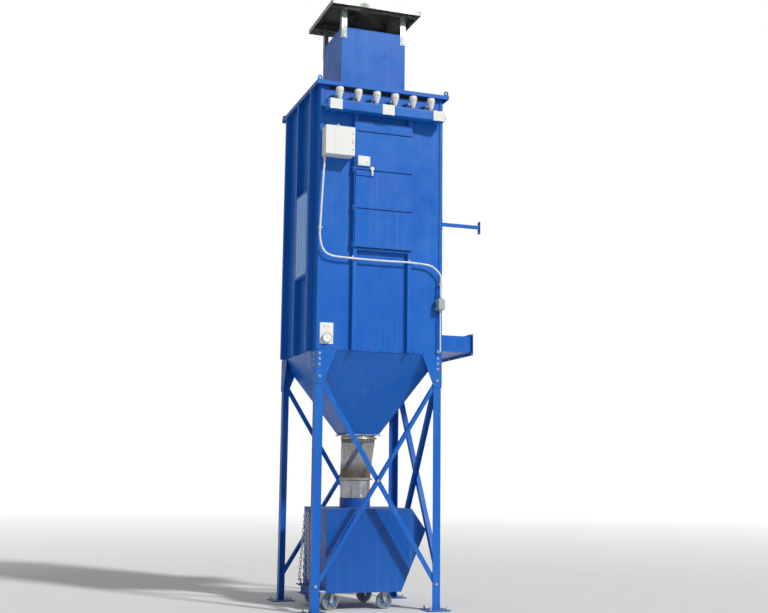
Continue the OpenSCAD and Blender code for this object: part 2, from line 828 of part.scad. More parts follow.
module sleeve_band() color(ZINC) translate([-collar_left, 0, band_low])
    ring(band_d, band_d - 2 * spigot_t, band_h);

module legs() color(PAINT) in_corners()
    translate([heel_x - leg_w, heel_y - leg_w, base_t]) difference() {
        cube([leg_w, leg_w, leg_top - base_t]);
        translate([-cut, -cut, -cut])
            cube([leg_w - leg_t + cut, leg_w - leg_t + cut, leg_top - base_t + 2 * cut]);
    }

module base_plates() color(PAINT) in_corners()
    translate([heel_x - base_in, heel_y - base_in, 0]) difference() {
        translate([-base_w / 2, -base_w / 2, 0]) cube([base_w, base_w, base_t]);
        for (x = [-1, 1], y = [-1, 1]) translate([x * anchor_out, y * anchor_out, -cut])
            cylinder(d = anchor_d, h = base_t + 2 * cut);
    }

// One face of a gusset, its upright edge at x = 0 and its top at z = 0
module gusset_face() rotate([90, 0, 0]) translate([0, 0, -sheet_t]) linear_extrude(sheet_t)
    polygon([[0, 0], [-gusset_w, 0], [-leg_w, -gusset_h], [0, -gusset_h]]);

module corner_gussets() color(PAINT) in_corners() translate([half_w, half_d, housing_z]) {
    translate([0, -sheet_t, 0]) gusset_face();
    rotate([0, 0, 90]) gusset_face();
}

// A brace along +X from bolt to bolt, flat on z = 0 to brace_t, its ends round.
// The standing flange rises on one edge, up or down, and stops short of the legs.
module brace(half, edge, up) {
    length = brace_l(half);
    brace_cope = (leg_w / 2 + brace_clear + brace_w / 2 * sin(brace_angle(half)))
        / cos(brace_angle(half));
    translate([0, -brace_w / 2, 0]) cube([length, brace_w, brace_t]);
    for (x = [0, length]) translate([x, 0, 0]) cylinder(d = brace_w, h = brace_t);
    translate([brace_cope, edge > 0 ? brace_w / 2 - brace_t : -brace_w / 2,
               up ? 0 : brace_t - brace_w])
        cube([length - 2 * brace_cope, brace_t, brace_w]);
}

// Places a brace on a face that looks to -Y, rising to the right or to the left
module on_face(half, plane, rising_right) {
    bolt_x = half - leg_w / 2;
    angle = brace_angle(half);
    translate([rising_right ? -bolt_x : bolt_x, -plane, brace_low_z]) rotate([90, 0, 0])
        rotate([0, 0, rising_right ? angle : 180 - angle]) children();
}
brace_rise = housing_z - brace_top_drop - brace_low_z;
function brace_l(half) = norm([2 * half - leg_w, brace_rise]);
function brace_angle(half) = atan2(brace_rise, 2 * half - leg_w);

module outer_brace(half, plane) on_face(half, plane - leg_t - brace_t, true)
    brace(half, 1, true);

// The inner brace passes behind the outer one, so its ends are packed out to the legs
module inner_brace(half, plane) on_face(half, plane - leg_t - 2 * brace_t, false) {
    brace(half, -1, false);
    for (x = [0, brace_l(half)]) translate([x, 0, brace_t]) cylinder(d = brace_w, h = brace_t);
}

module outer_braces() color(PAINT) {
    outer_brace(heel_x, heel_y);
    rotate([0, 0, 90]) outer_brace(heel_y, heel_x);
    rotate([0, 0, 180]) outer_brace(heel_x, heel_y);
}

module inner_braces() color(PAINT) {
    inner_brace(heel_x, heel_y);
    rotate([0, 0, 90]) inner_brace(heel_y, heel_x);
    rotate([0, 0, 180]) inner_brace(heel_x, heel_y);
}

// Bars across the ribs, which the covers close on, and the header plate on the top bar
module door_bars() color(PAINT) {
    bar_w = 2 * front_rib_x - rib_w;
    header_w = 2 * front_rib_x + rib_w;
    header_low = door_top + cover_gap / 2;
    translate([-header_w / 2, door_y - header_t, header_low])
        cube([header_w, header_t, manifold_top - manifold_w - header_drop - header_low]);
    for (i = [0 : cover_count]) translate([-bar_w / 2, door_y, door_low + i * cover_pitch
            - door_bar_h / 2])
        cube([bar_w, front_rib_d, door_bar_h]);
}

// The seam under the highest cover, and the keeper's lower edge under that seam
latch_seam = door_low + (cover_count - 1) * cover_pitch;
keeper_z = latch_seam - keeper_drop - keeper_h;

// Folded pans that close the bays, with the latch's keeper on the pan under the highest one
module access_covers() color(PAINT) {
    for (i = [0 : cover_count - 1])
        translate([cover_left, door_y - cover_d, door_low + i * cover_pitch + cover_gap / 2])
            difference() {
                width = door_half_w - cover_left;
                height = cover_pitch - cover_gap;
                cube([width, cover_d, height]);
                translate([cover_t, cover_t, cover_t])
                    cube([width - 2 * cover_t, cover_d, height - 2 * cover_t]);
            }
    translate([keeper_in - door_half_w, door_y - cover_d - keeper_t, keeper_z])
        cube([keeper_w, keeper_t + cover_t, keeper_h]);
}

// A rod down the covers' left edge, with a knuckle on a leaf at each seam
module door_hinge() color(PAINT) translate([-door_half_w, door_y - knuckle_d / 2, 0]) {
    translate([0, 0, door_low]) cylinder(d = hinge_rod_d, h = door_top - door_low);
    for (i = [0 : cover_count]) {
        z = min(max(door_low + i * cover_pitch - knuckle_h / 2, door_low), door_top - knuckle_h);
        translate([0, 0, z]) cylinder(d = knuckle_d, h = knuckle_h);
        translate([-knuckle_d / 2 - 10, knuckle_d / 2 - 5, z]) cube([knuckle_d + 10, 5, knuckle_h]);
    }
}

// A case on the highest cover, and a lever with a knob on the keeper
module door_latch() color(WHITE) {
    translate([latch_in - door_half_w, door_y - cover_d - latch_d, latch_seam + latch_up])
        cube([latch_w, latch_d, latch_h]);
    translate([keeper_in + keeper_w - lever_in - door_half_w,
               door_y - cover_d - keeper_t, keeper_z]) {
        translate([-lever_w / 2, -lever_t, 0]) cube([lever_w, lever_t, lever_h]);
        translate([0, 0, lever_h]) rotate([90, 0, 0]) cylinder(d = lever_knob_d, h = lever_t);
    }
}

// The vent stands between the front and middle ribs of the left wall
vent_y0 = rib_w / 2 + vent_gap;
vent_w = side_rib_pitch - rib_w - 2 * vent_gap;

module vent_frame() color(PAINT) rotate([0, 0, -90])
    translate([vent_y0, -half_w - side_rib_d, housing_z + vent_z]) {
        difference() {
            cube([vent_w, side_rib_d, vent_h]);
            translate([vent_frame_t, -cut, vent_frame_t])
                cube([vent_w - 2 * vent_frame_t, side_rib_d + 2 * cut, vent_h - 2 * vent_frame_t]);
        }
        difference() {
            translate([0, vent_frame_t, 0]) cube([vent_w, vent_frame_t, vent_h]);
            translate([vent_seat_w, 0, vent_seat_w])
                cube([vent_w - 2 * vent_seat_w, 3 * vent_frame_t, vent_h - 2 * vent_seat_w]);
        }
    }

module vent_panel() color(PALE) rotate([0, 0, -90])
    translate([vent_y0 + vent_frame_t + seat_gap,
               -half_w - side_rib_d + vent_frame_t - vent_panel_t,
               housing_z + vent_z + vent_frame_t + seat_gap])
        cube([vent_w - 2 * (vent_frame_t + seat_gap), vent_panel_t,
              vent_h - 2 * (vent_frame_t + seat_gap)]);

// The cross-section of the square manifold, rounded at its edges
module manifold_section(grow) offset(r = manifold_r + grow)
    square(manifold_w - 2 * manifold_r, center = true);

module air_manifold() color(PAINT)
    translate([-manifold_l / 2, manifold_y, manifold_top - manifold_w / 2]) {
        rotate([90, 0, 90]) linear_extrude(manifold_l) manifold_section(0);
        for (x = [-stub_l, manifold_l]) translate([x, 0, 0]) rotate([0, 90, 0])
            cylinder(d = stub_d, h = stub_l);
    }

// Straps that hold the manifold to the wall, each with a wider plate on its front
module manifold_clamps() color(WHITE) for (i = [-1 : 1]) {
    far = manifold_y - manifold_w / 2 - manifold_clamp_t - seat_gap;
    reach = manifold_w / 2 + manifold_clamp_t + seat_gap;
    low = manifold_top - manifold_w / 2 - reach;
    translate([manifold_clamp_mid + i * manifold_clamp_x, 0, 0]) {
        translate([-manifold_clamp_w / 2, 0, 0]) difference() {
            translate([0, far, low]) cube([manifold_clamp_w, front_y - far, 2 * reach]);
            translate([-cut, manifold_y - manifold_w / 2 - seat_gap,
                       manifold_top - manifold_w - seat_gap])
                cube([manifold_clamp_w + 2 * cut, -manifold_y + manifold_w + 2 * seat_gap,
                      manifold_w + 2 * seat_gap]);
        }
        translate([-manifold_plate_w / 2, far, low])
            cube([manifold_plate_w, manifold_clamp_t, 2 * reach]);
    }
}

// A diaphragm valve: a funnel from its foot up to its flange, a cap, and a pipe to the wall
module pulse_valve() {
    foot_r = valve_foot_d / 2;
    flange_r = valve_d / 2;
    flange_top = valve_h - valve_cap_h;
    flange_z = flange_top - valve_flange_h;
    rotate_extrude() polygon([
        [0, 0], [foot_r, 0], [foot_r, valve_foot_h], [flange_r - valve_lip, flange_z],
        [flange_r, flange_z], [flange_r, flange_top], [flange_r - valve_lip, flange_top],
        [flange_r - 2 * valve_lip, valve_h], [0, valve_h]]);
    translate([0, 0, valve_pipe_z]) rotate([-90, 0, 0])
        cylinder(d = valve_pipe_d, h = front_y - manifold_y);
}

module pulse_valves() color(WHITE) for (i = [0 : valve_count - 1])
    translate([(i - (valve_count - 1) / 2) * valve_pitch, manifold_y, manifold_top])
        pulse_valve();

module control_box() color(WHITE) translate([control_x, control_back - control_d, control_z]) {
    translate([0, control_door_d, 0]) cube([control_w, control_d - control_door_d, control_h]);
    for (z = [control_pad_h, control_h - 2 * control_pad_h])
        translate([corner_strip_w, control_d, z])
            cube([control_w - 2 * corner_strip_w, corner_strip_t, control_pad_h]);
}

module control_box_door() color(WHITE)
    translate([control_x - control_lap, control_back - control_d, control_z - control_lap]) {
        cube([control_w + 2 * control_lap, control_door_d - seat_gap, control_h + 2 * control_lap]);
        translate([control_w + control_lap - 1.5 * control_handle_w, -control_handle_out,
                   (control_h - control_handle_h) / 2 + control_lap])
            cube([control_handle_w, control_handle_out + cut, control_handle_h]);
    }

// The conduit's route down beside the door, under it and down on the right, as [x, z].
// Its drop from the control box to the run under the door is given in shares.
run_z = door_low - run_drop;
function on_drop(share) = control_z - seat_gap + (run_z - control_z) * share;
drop_x = control_x + conduit_in;
end_x = junction_x + junction_w / 2;
upper_route = [
    [drop_x, on_drop(0)], [drop_x, on_drop(0.03)], [drop_x, on_drop(0.06)],
    [drop_x - 18, on_drop(0.34)], [drop_x - 34, on_drop(0.63)], [drop_x - 40, on_drop(0.81)],
    [drop_x - 2, on_drop(0.94)],
    [drop_x + 90, run_z], [drop_x + 280, run_z - 20], [0, run_z - 26], [320, run_z - 22],
    [end_x - 222, run_z - 32], [end_x - 102, run_z - 62], [end_x - 4, run_z - 160],
    [end_x, run_z - 280], [end_x, junction_z + junction_h + 60],
    [end_x, junction_z + junction_h + seat_gap]];

module upper_conduit() color(GREY) translate([0, conduit_y, 0])
    flat_tube(curve(upper_route, 4), conduit_d / 2, 12);

module junction_box() color(GREY)
    translate([junction_x, junction_back - junction_d, junction_z])
        cube([junction_w, junction_d, junction_h]);

// The lower conduit drops from the junction box and turns in to the wall
module lower_conduit() color(GREY)
    translate([junction_x + junction_w / 2, junction_back - junction_d / 2, 0]) {
        low = housing_z + conduit_up;
        translate([0, 0, low]) cylinder(d = thin_conduit_d, h = junction_z - low);
        translate([0, 0, low]) sphere(d = thin_conduit_d);
        translate([0, 0, low]) rotate([-90, 0, 0])
            cylinder(d = thin_conduit_d, h = junction_d / 2);
    }

gauge_x = -half_w + gauge_in;
gauge_z = housing_z + gauge_up;

module gauge_plate() color(WHITE) translate([gauge_x, front_y - gauge_plate_t, gauge_z])
    cube([gauge_plate_w, gauge_plate_t, gauge_plate_h]);

// A round gauge with a bezel and a set-back face
module pressure_gauge() color(GREY)
    translate([gauge_x + gauge_plate_w / 2, front_y - gauge_plate_t, gauge_z + gauge_d / 2 + gauge_low])
        rotate([90, 0, 0]) difference() {
            union() {
                cylinder(d = gauge_d * 0.86, h = gauge_depth);
                translate([0, 0, gauge_depth * 0.55]) cylinder(d = gauge_d, h = gauge_depth * 0.45);
            }
            translate([0, 0, gauge_depth - 4]) cylinder(d = gauge_d - 14, h = 4 + cut);
        }

module inlet_duct() color(PAINT) translate([half_w, 0, housing_z + inlet_up + inlet_h / 2])
    rotate([90, 0, 90]) difference() {
        flange_y = inlet_w / 2 + inlet_flange_w / 2;
        flange_z = inlet_h / 2 + inlet_flange_w / 2;
        union() {
            translate([-inlet_w / 2, -inlet_h / 2, 0]) cube([inlet_w, inlet_h, inlet_l]);
            translate([-inlet_w / 2 - inlet_flange_w, -inlet_h / 2 - inlet_flange_w,
                       inlet_l - inlet_flange_t])
                cube([inlet_w + 2 * inlet_flange_w, inlet_h + 2 * inlet_flange_w,
                      inlet_flange_t]);
        }
        translate([-inlet_w / 2 + inlet_t, -inlet_h / 2 + inlet_t, -cut])
            cube([inlet_w - 2 * inlet_t, inlet_h - 2 * inlet_t, inlet_l + 2 * cut]);
        for (y = [-flange_y, -inlet_hole_y, inlet_hole_y, flange_y], z = [-1, 1])
            translate([y, z * flange_z, inlet_l - inlet_flange_t - cut])
                cylinder(d = inlet_hole_d, h = inlet_flange_t + 2 * cut);
    }

// An angle from the housing's front right edge to the wall beside it
module wall_tie() color(PAINT) translate([half_w, front_y, housing_z + tie_up]) {
    span = inlet_l - 2 * tie_plate_t;
    translate([0, 0, -tie_plate_h / 2]) cube([tie_plate_t, tie_plate_w, tie_plate_h]);
    difference() {
        translate([inlet_l - tie_plate_t, 0, -tie_plate_h / 2])
            cube([tie_plate_t, tie_plate_w, tie_plate_h]);
        for (z = [-1, 1]) translate([inlet_l - tie_plate_t - cut, tie_plate_w / 2,
                z * (tie_plate_h / 2 - tie_hole_in)])
            rotate([0, 90, 0]) cylinder(d = tie_hole_d, h = tie_plate_t + 2 * cut);
    }
    translate([tie_plate_t, tie_in, -tie_w / 2]) cube([span, tie_t, tie_w]);
    translate([tie_plate_t, tie_in, tie_w / 2 - tie_t]) cube([span, tie_w, tie_t]);
}

// The bin's outline seen from the front, from the height low up to its top
module bin_outline(low) {
    slope = (bin_nose - bin_low_right) / (bin_nose_z - bin_skirt_z);
    polygon([
        [-bin_left, low], [-bin_left, bin_top_z], [bin_top_right, bin_top_z],
        [bin_nose, bin_nose_z], [bin_low_right + (low - bin_skirt_z) * slope, low]]);
}

module bin_sides() color(PAINT) for (y = [bin_y0 + bin_t, bin_y1]) translate([0, y, 0])
    rotate([90, 0, 0]) linear_extrude(bin_t) bin_outline(bin_skirt_z);

// The folded sheet between the side plates, open at its top
module bin_shell() color(PAINT) translate([0, bin_y1 - bin_t, 0]) rotate([90, 0, 0])
    linear_extrude(bin_d - 2 * bin_t) difference() {
        bin_outline(deck_z + deck_t);
        offset(delta = -bin_t) bin_outline(deck_z + deck_t);
        translate([-bin_left + bin_t, bin_top_z - 2 * bin_t])
            square([bin_left + bin_top_right - 3 * bin_t, 3 * bin_t]);
    }

module bin_lid() color(PAINT) {
    over = seat_gap + lid_t;
    long = bin_left + bin_top_right;
    hole_d = band_d + 2 * seat_gap;
    difference() {
        translate([-bin_left - over, bin_y0 - over, bin_top_z - lid_rim_h])
            cube([long + 2 * over, bin_d + 2 * over, lid_rim_h + lid_t]);
        translate([-bin_left - seat_gap, bin_y0 - seat_gap, bin_top_z - lid_rim_h - cut])
            cube([long + 2 * over, bin_d + 2 * seat_gap, lid_rim_h + cut]);
        translate([-collar_left, 0, bin_top_z - cut]) cylinder(d = hole_d, h = lid_t + 2 * cut);
    }
    translate([-collar_left, 0, bin_top_z]) ring(hole_d + 2 * spigot_t, hole_d, lid_t + bin_collar_h);
}

module bin_deck() color(PAINT)
    translate([-bin_left - end_channel_out, bin_y0 + bin_t + deck_in, deck_z])
        cube([bin_left + end_channel_out + bin_low_right, bin_d - 2 * (bin_t + deck_in), deck_t]);

// A channel along the deck's left end, open to the left
module end_channel() color(PAINT)
    translate([-bin_left - end_channel_out, bin_y - end_channel_l / 2, deck_z - end_channel_h])
        difference() {
            cube([end_channel_w, end_channel_l, end_channel_h]);
            translate([-cut, -cut, bin_t]) cube([end_channel_w - bin_t + cut,
                end_channel_l + 2 * cut, end_channel_h - 2 * bin_t]);
        }

// Each strand is drawn straight between a hook pin on the bin's wall and one on a lug that
// stands on the deck. It has as many links as fit, an odd number, so both ends lie alike.
hook_z = bin_top_z - hook_drop;
deck_top = deck_z + deck_t;
link_step = link_pitch - seat_gap;
end_step = link_pitch / 2 - hook_d / 2 - hook_gap;
foot_room = hook_z - deck_top - hook_d - 1.5 * wire_d - 2 * end_step;
link_count = 2 * floor(foot_room / link_step / 2) + 1;
strand_l = (link_count - 1) * link_step + 2 * end_step;
foot_x = -bin_left - foot_off;

// How far a strand leans from its hook to its foot, as [x, y]
function lean(i) = [hook_off - foot_off, i * (foot_pitch - hook_pitch) - foot_forward];
function hook_y(i) = strand_back + i * hook_pitch;
function foot_y(i) = hook_y(i) + lean(i)[1];
function strand_drop(i) = sqrt(strand_l * strand_l - lean(i) * lean(i));

// A hook pin along -X from the plate that carries it, with a head
module hook_pin(reach) rotate([0, -90, 0]) {
    cylinder(d = hook_d, h = reach);
    translate([0, 0, reach]) cylinder(d = hook_d * 1.6, h = hook_d / 2);
}

// Pins for the chain's end links, on a strip across the bin's left wall and on three lugs
module chain_hooks() color(PAINT) {
    strip_x = -bin_left - hook_strip_t;
    lug_x = foot_x + wire_d / 2 + 1.5 * hook_d;
    translate([strip_x, strand_back - hook_strip_h, hook_z - hook_strip_h / 2])
        cube([hook_strip_t, (strand_count - 1) * hook_pitch + 2 * hook_strip_h, hook_strip_h]);
    for (i = [0 : strand_count - 1]) {
        foot_z = hook_z - strand_drop(i);
        translate([strip_x, hook_y(i), hook_z])
            hook_pin(hook_off - hook_strip_t + wire_d / 2 + hook_past);
        translate([lug_x, foot_y(i) - foot_lug_w / 2, deck_top])
            cube([hook_strip_t, foot_lug_w, foot_z + hook_d * 1.5 - deck_top]);
        translate([lug_x, foot_y(i), foot_z]) hook_pin(lug_x - foot_x + wire_d / 2 + hook_past);
    }
}

// One link, its length along Z and its plane across X: round bends joined by two bars.
// The wire has six sides, with an edge to the inside, where the next link bears.
module chain_link() {
    sides = 6;
    bend_steps = 4;
    bend_r = (link_w - wire_d) / 2;
    bend_z = (link_pitch + wire_d) / 2 - bend_r;
    rings = 2 * (bend_steps + 1);
    points = [for (end = [0, 1], k = [0 : bend_steps], s = [0 : sides - 1])
        let (along = 180 * (end + k / bend_steps),
             round = 360 * s / sides,
             reach = bend_r - wire_d / 2 * cos(round))
        [wire_d / 2 * sin(round), reach * cos(along),
         reach * sin(along) + (end == 0 ? bend_z : -bend_z)]];
    faces = [for (i = [0 : rings - 1], s = [0 : sides - 1])
        let (next = (i + 1) % rings, side = (s + 1) % sides)
        [i * sides + s, i * sides + side, next * sides + side, next * sides + s]];
    polyhedron(points = points, faces = faces, convexity = 4);
}

module bin_chain() color(ZINC) for (i = [0 : strand_count - 1])
    translate([-bin_left - hook_off, hook_y(i), hook_z])
        rotate([asin(lean(i)[1] / strand_l), atan2(-lean(i)[0], strand_drop(i)), 0])
            for (n = [0 : link_count - 1]) translate([0, 0, -end_step - n * link_step])
                rotate([0, 0, 90 * (n % 2)]) chain_link();

// Top plates of the four casters, with the kingpins of the two that swivel
module caster_plates() color(ZINC) for (y = [front_caster_y, back_caster_y]) {
    for (x = [-swivel_x, rigid_x]) translate([x - top_plate_l / 2, y - top_plate_w / 2, top_plate_z])
        cube([top_plate_l, top_plate_w, top_plate_t]);
    translate([-swivel_x, y, race_z]) cylinder(d = crown_d * 0.66, h = race_h);
    translate([-swivel_x, y, crown_z - crown_gap])
        cylinder(d = kingpin_d, h = race_z - crown_z + crown_gap);
    translate([-swivel_x, y, crown_z - crown_gap - kingpin_head])
            cylinder(d = kingpin_d + 8, h = kingpin_head);
}

// The two sides of a fork and the axle across them, round the wheel's centre
module fork_sides(top_x, top_half) {
    for (side = [0, 1]) mirror([0, side, 0]) {
        translate([0, fork_in + fork_t, 0]) rotate([90, 0, 0]) linear_extrude(fork_t)
            polygon([[-axle_boss_r, 0], [top_x - top_half, crown_z - wheel_r],
                     [top_x + top_half, crown_z - wheel_r], [axle_boss_r, 0]]);
        translate([0, fork_in, 0]) rotate([-90, 0, 0]) cylinder(r = axle_boss_r, h = fork_t);
        translate([0, fork_in + fork_t, 0]) rotate([-90, 0, 0])
            cylinder(r = axle_nut_r, h = axle_nut_t);
    }
    translate([0, -fork_in - cut, 0]) rotate([-90, 0, 0]) cylinder(d = axle_d, h = 2 * (fork_in + cut));
}

module swivel_fork(y) color(ZINC) translate([-swivel_x, y, 0]) {
    translate([-trail, 0, wheel_r]) fork_sides(trail - 4, swivel_side);
    translate([0, 0, crown_z]) difference() {
        cylinder(d = crown_d, h = crown_t);
        translate([0, 0, -cut]) cylinder(r = kingpin_d / 2 + pin_gap, h = crown_t + 2 * cut);
    }
}
module front_swivel_fork() swivel_fork(front_caster_y);
module back_swivel_fork() swivel_fork(back_caster_y);

module rigid_forks() color(ZINC) for (y = [front_caster_y, back_caster_y])
    translate([rigid_x, y, 0]) {
        translate([0, 0, wheel_r]) fork_sides(0, rigid_side);
        translate([-rigid_side, -fork_in - fork_t, crown_z])
            cube([2 * rigid_side, 2 * (fork_in + fork_t), top_plate_z - crown_z]);
    }

// A moulded wheel: hub, web and a rounded tread
module wheel() color(GREY) rotate([90, 0, 0]) rotate_extrude($fn = 96) polygon([
    [axle_d / 2 + pin_gap, -hub_w / 2], [hub_d / 2, -hub_w / 2], [hub_d / 2 + 3, -8],
    [wheel_r - 26, -8], [wheel_r - 24, -tread_w / 2], [wheel_r - 5, -tread_w / 2],
    [wheel_r, -tread_w / 2 + 7], [wheel_r, tread_w / 2 - 7], [wheel_r - 5, tread_w / 2],
    [wheel_r - 24, tread_w / 2], [wheel_r - 26, 8], [hub_d / 2 + 3, 8], [hub_d / 2, hub_w / 2],
    [axle_d / 2 + pin_gap, hub_w / 2]]);

module front_swivel_wheel() translate([-swivel_x - trail, front_caster_y, wheel_r]) wheel();
module back_swivel_wheel() translate([-swivel_x - trail, back_caster_y, wheel_r]) wheel();
module front_rigid_wheel() translate([rigid_x, front_caster_y, wheel_r]) wheel();
module back_rigid_wheel() translate([rigid_x, back_caster_y, wheel_r]) wheel();

front_panel();
left_panel();
right_panel();
back_panel();
roof_panel();
lifting_lugs();
exhaust_stack();
cap_posts();
rain_cap();
hopper_end_plates();
hopper_side_plates();
outlet_collar();
clear_sleeve();
sleeve_clamps();
sleeve_band();
legs();
base_plates();
corner_gussets();
outer_braces();
inner_braces();
door_bars();
access_covers();
door_hinge();
door_latch();
vent_frame();
vent_panel();
air_manifold();
manifold_clamps();
pulse_valves();
control_box();
control_box_door();
upper_conduit();
junction_box();
lower_conduit();
gauge_plate();
pressure_gauge();
inlet_duct();
wall_tie();
bin_sides();
bin_shell();
bin_lid();
bin_deck();
end_channel();
chain_hooks();
bin_chain();
caster_plates();
rigid_forks();
front_swivel_fork();
back_swivel_fork();
front_swivel_wheel();
back_swivel_wheel();
front_rigid_wheel();
back_rigid_wheel();
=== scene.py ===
# %% [markdown]
# A pulse-jet dust collector: dusty air comes in on the right, fabric filters in the tall
# housing hold the dust back, and six valves along the top blow short bursts of air that
# knock it down the hopper, through a clear sleeve, into the wheeled bin.
# The solids come from CAD and are only dressed here. Lengths are in metres, X runs to the
# right along the front, Y into the depth and Z up.

# %% Load the solids
import json
import math

import bmesh
import bpy
from mathutils import Matrix, Vector


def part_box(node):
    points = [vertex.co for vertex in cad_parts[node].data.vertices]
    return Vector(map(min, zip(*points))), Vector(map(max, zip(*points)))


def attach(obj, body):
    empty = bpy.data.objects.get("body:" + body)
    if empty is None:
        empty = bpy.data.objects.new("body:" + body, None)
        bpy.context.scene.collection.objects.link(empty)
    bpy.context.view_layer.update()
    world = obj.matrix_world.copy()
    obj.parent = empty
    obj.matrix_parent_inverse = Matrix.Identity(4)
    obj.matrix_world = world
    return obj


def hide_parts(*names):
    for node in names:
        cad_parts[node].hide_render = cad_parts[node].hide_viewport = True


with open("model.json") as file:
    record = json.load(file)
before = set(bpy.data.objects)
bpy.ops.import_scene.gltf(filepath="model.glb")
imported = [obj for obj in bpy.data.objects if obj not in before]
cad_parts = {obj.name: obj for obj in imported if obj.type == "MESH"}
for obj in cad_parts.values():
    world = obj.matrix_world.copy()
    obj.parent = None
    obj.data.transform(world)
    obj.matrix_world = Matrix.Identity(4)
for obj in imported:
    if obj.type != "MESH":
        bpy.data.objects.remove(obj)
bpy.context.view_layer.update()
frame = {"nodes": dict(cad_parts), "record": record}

# %% [markdown]
# The camera stands fourteen metres in front of the collector and nearly five to its left, at
# eye height, and looks up at it. Its place, turn and lens were solved from edges of the
# housing and the legs, so the render can be laid over the photograph. Aiming with an empty
# and a Track To constraint is easier, but can't give the slight roll that the photograph has.

# %% Camera
eye = Vector((-4.607, -13.994, 1.6))
yaw, pitch, roll = 0.33949, 0.148495, 0.011228
focal_px, picture_px, sensor_mm = 1139.47, 768, 36
ahead = Vector((math.sin(yaw) * math.cos(pitch), math.cos(yaw) * math.cos(pitch), math.sin(pitch)))
level = Vector((math.cos(yaw), -math.sin(yaw), 0))
above = level.cross(ahead)
right = level * math.cos(roll) + above * math.sin(roll)
up = above * math.cos(roll) - level * math.sin(roll)

lens = bpy.data.cameras.new("camera")
lens.sensor_width = sensor_mm
lens.lens = focal_px / picture_px * sensor_mm
lens.clip_end = 400
camera = bpy.data.objects.new("camera", lens)
camera.matrix_world = Matrix.Translation(eye) @ Matrix((right, up, -ahead)).transposed().to_4x4()
bpy.context.scene.collection.objects.link(camera)
bpy.context.scene.camera = camera
print("lens", round(lens.lens, 2), "mm")

# %% [markdown]
# Finishes are networks of nodes. Small helpers keep them readable. One turns an sRGB hex
# colour, as a colour picker shows it, into the linear numbers that light is added up in, and
# one adds a node with its choices, its values and what feeds it. The others are the few steps
# that nearly every finish takes: a blend of two colours, a cloudy pattern, a relief.

# %% Colours and nodes
def hex_colour(code):
    """The linear colour of an sRGB hex value."""
    parts = [int(code[i:i + 2], 16) / 255 for i in (1, 3, 5)]
    return (*[p / 12.92 if p < 0.04045 else ((p + 0.055) / 1.055) ** 2.4 for p in parts], 1)


def add(finish, kind, values=None, feeds=None, **choices):
    """A new node in a finish: values go on its sockets, feeds are linked to them."""
    tree = finish.node_tree
    node = tree.nodes.new("ShaderNode" + kind)
    for name, choice in choices.items():
        setattr(node, name, choice)
    for socket, value in (values or {}).items():
        node.inputs[socket].default_value = value
    for socket, source in (feeds or {}).items():
        tree.links.new(source, node.inputs[socket])
    return node


def new_finish(name, **values):
    """A material with its shader, the shader's plain values and the object's coordinates."""
    finish = bpy.data.materials.new(name)
    finish.use_nodes = True
    shader = finish.node_tree.nodes["Principled BSDF"]
    for socket, value in values.items():
        shader.inputs[socket.replace("_", " ")].default_value = value
    return finish, shader, add(finish, "TexCoord").outputs["Object"]


def feed(finish, **sources):
    """Link outputs to the sockets of a finish's Principled shader."""
    shader = finish.node_tree.nodes["Principled BSDF"]
    for socket, source in sources.items():
        finish.node_tree.links.new(source, shader.inputs[socket.replace("_", " ")])


def blend(finish, share, low, high):
    """A colour between two: each is a hex value or an output, share is a number or an output."""
    values, feeds = {}, {}
    for socket, item in ((0, share), (6, low), (7, high)):
        if isinstance(item, str):
            values[socket] = hex_colour(item)
        elif isinstance(item, (int, float)):
            values[socket] = item
        else:
            feeds[socket] = item
    return add(finish, "Mix", values, feeds, data_type="RGBA").outputs[2]


def spread(finish, source, low, high, to_low=0.0, to_high=1.0):
    """The part of a pattern between low and high, spread to a new range and held in it."""
    return add(finish, "MapRange", {"From Min": low, "From Max": high, "To Min": to_low,
                                    "To Max": to_high}, {"Value": source}).outputs[0]


def times(finish, first, second, operation="MULTIPLY"):
    """Two values put together by one sum."""
    values, feeds = {}, {}
    for socket, item in ((0, first), (1, second)):
        (values if isinstance(item, (int, float)) else feeds)[socket] = item
    return add(finish, "Math", values, feeds, operation=operation).outputs[0]


def noise(finish, place, scale, detail=3.0, stretch=None):
    """A cloudy pattern, about 1 / scale metres from patch to patch, stretched where asked."""
    if stretch:
        place = add(finish, "Mapping", {"Scale": stretch}, {"Vector": place}).outputs[0]
    return add(finish, "TexNoise", {"Scale": scale, "Detail": detail}, {"Vector": place}).outputs[0]


def bumps(finish, height, distance, strength=1.0, under=None):
    """Small relief from a height pattern, distance metres deep, over another relief."""
    feeds = {"Height": height}
    if under:
        feeds["Normal"] = under
    return add(finish, "Bump", {"Distance": distance, "Strength": strength}, feeds).outputs[0]


def soft_edges(finish, radius):
    """The normal of a surface whose sharp edges are rounded off, as folded sheet's are."""
    return add(finish, "Bevel", {"Radius": radius}, samples=4).outputs[0]


def upward(finish):
    """How far each face looks up: 1 on a level top, 0 on a wall and -1 on an underside."""
    facing = add(finish, "NewGeometry").outputs["Normal"]
    return add(finish, "SeparateXYZ", feeds={"Vector": facing}).outputs["Z"]


def in_sight(finish):
    """1 for what the camera sees, also through clear plastic, and 0 for what is mirrored."""
    rays = add(finish, "LightPath").outputs
    return times(finish, rays["Is Camera Ray"], rays["Is Transmission Ray"], "MAXIMUM")


# %% [markdown]
# The collector is sprayed with gloss enamel over its sheet steel. Enamel gives the eye a deep
# colour under a clear shine, broken by a faint orange peel from the spray gun. Years outdoors
# add pale faded patches, streaks where rain runs down, dust on what faces up, and chips on
# edges. Sheet of this size is also never flat: between its ribs it waves by a few millimetres,
# which bends the reflections. Flat colour with one roughness would show none of that.

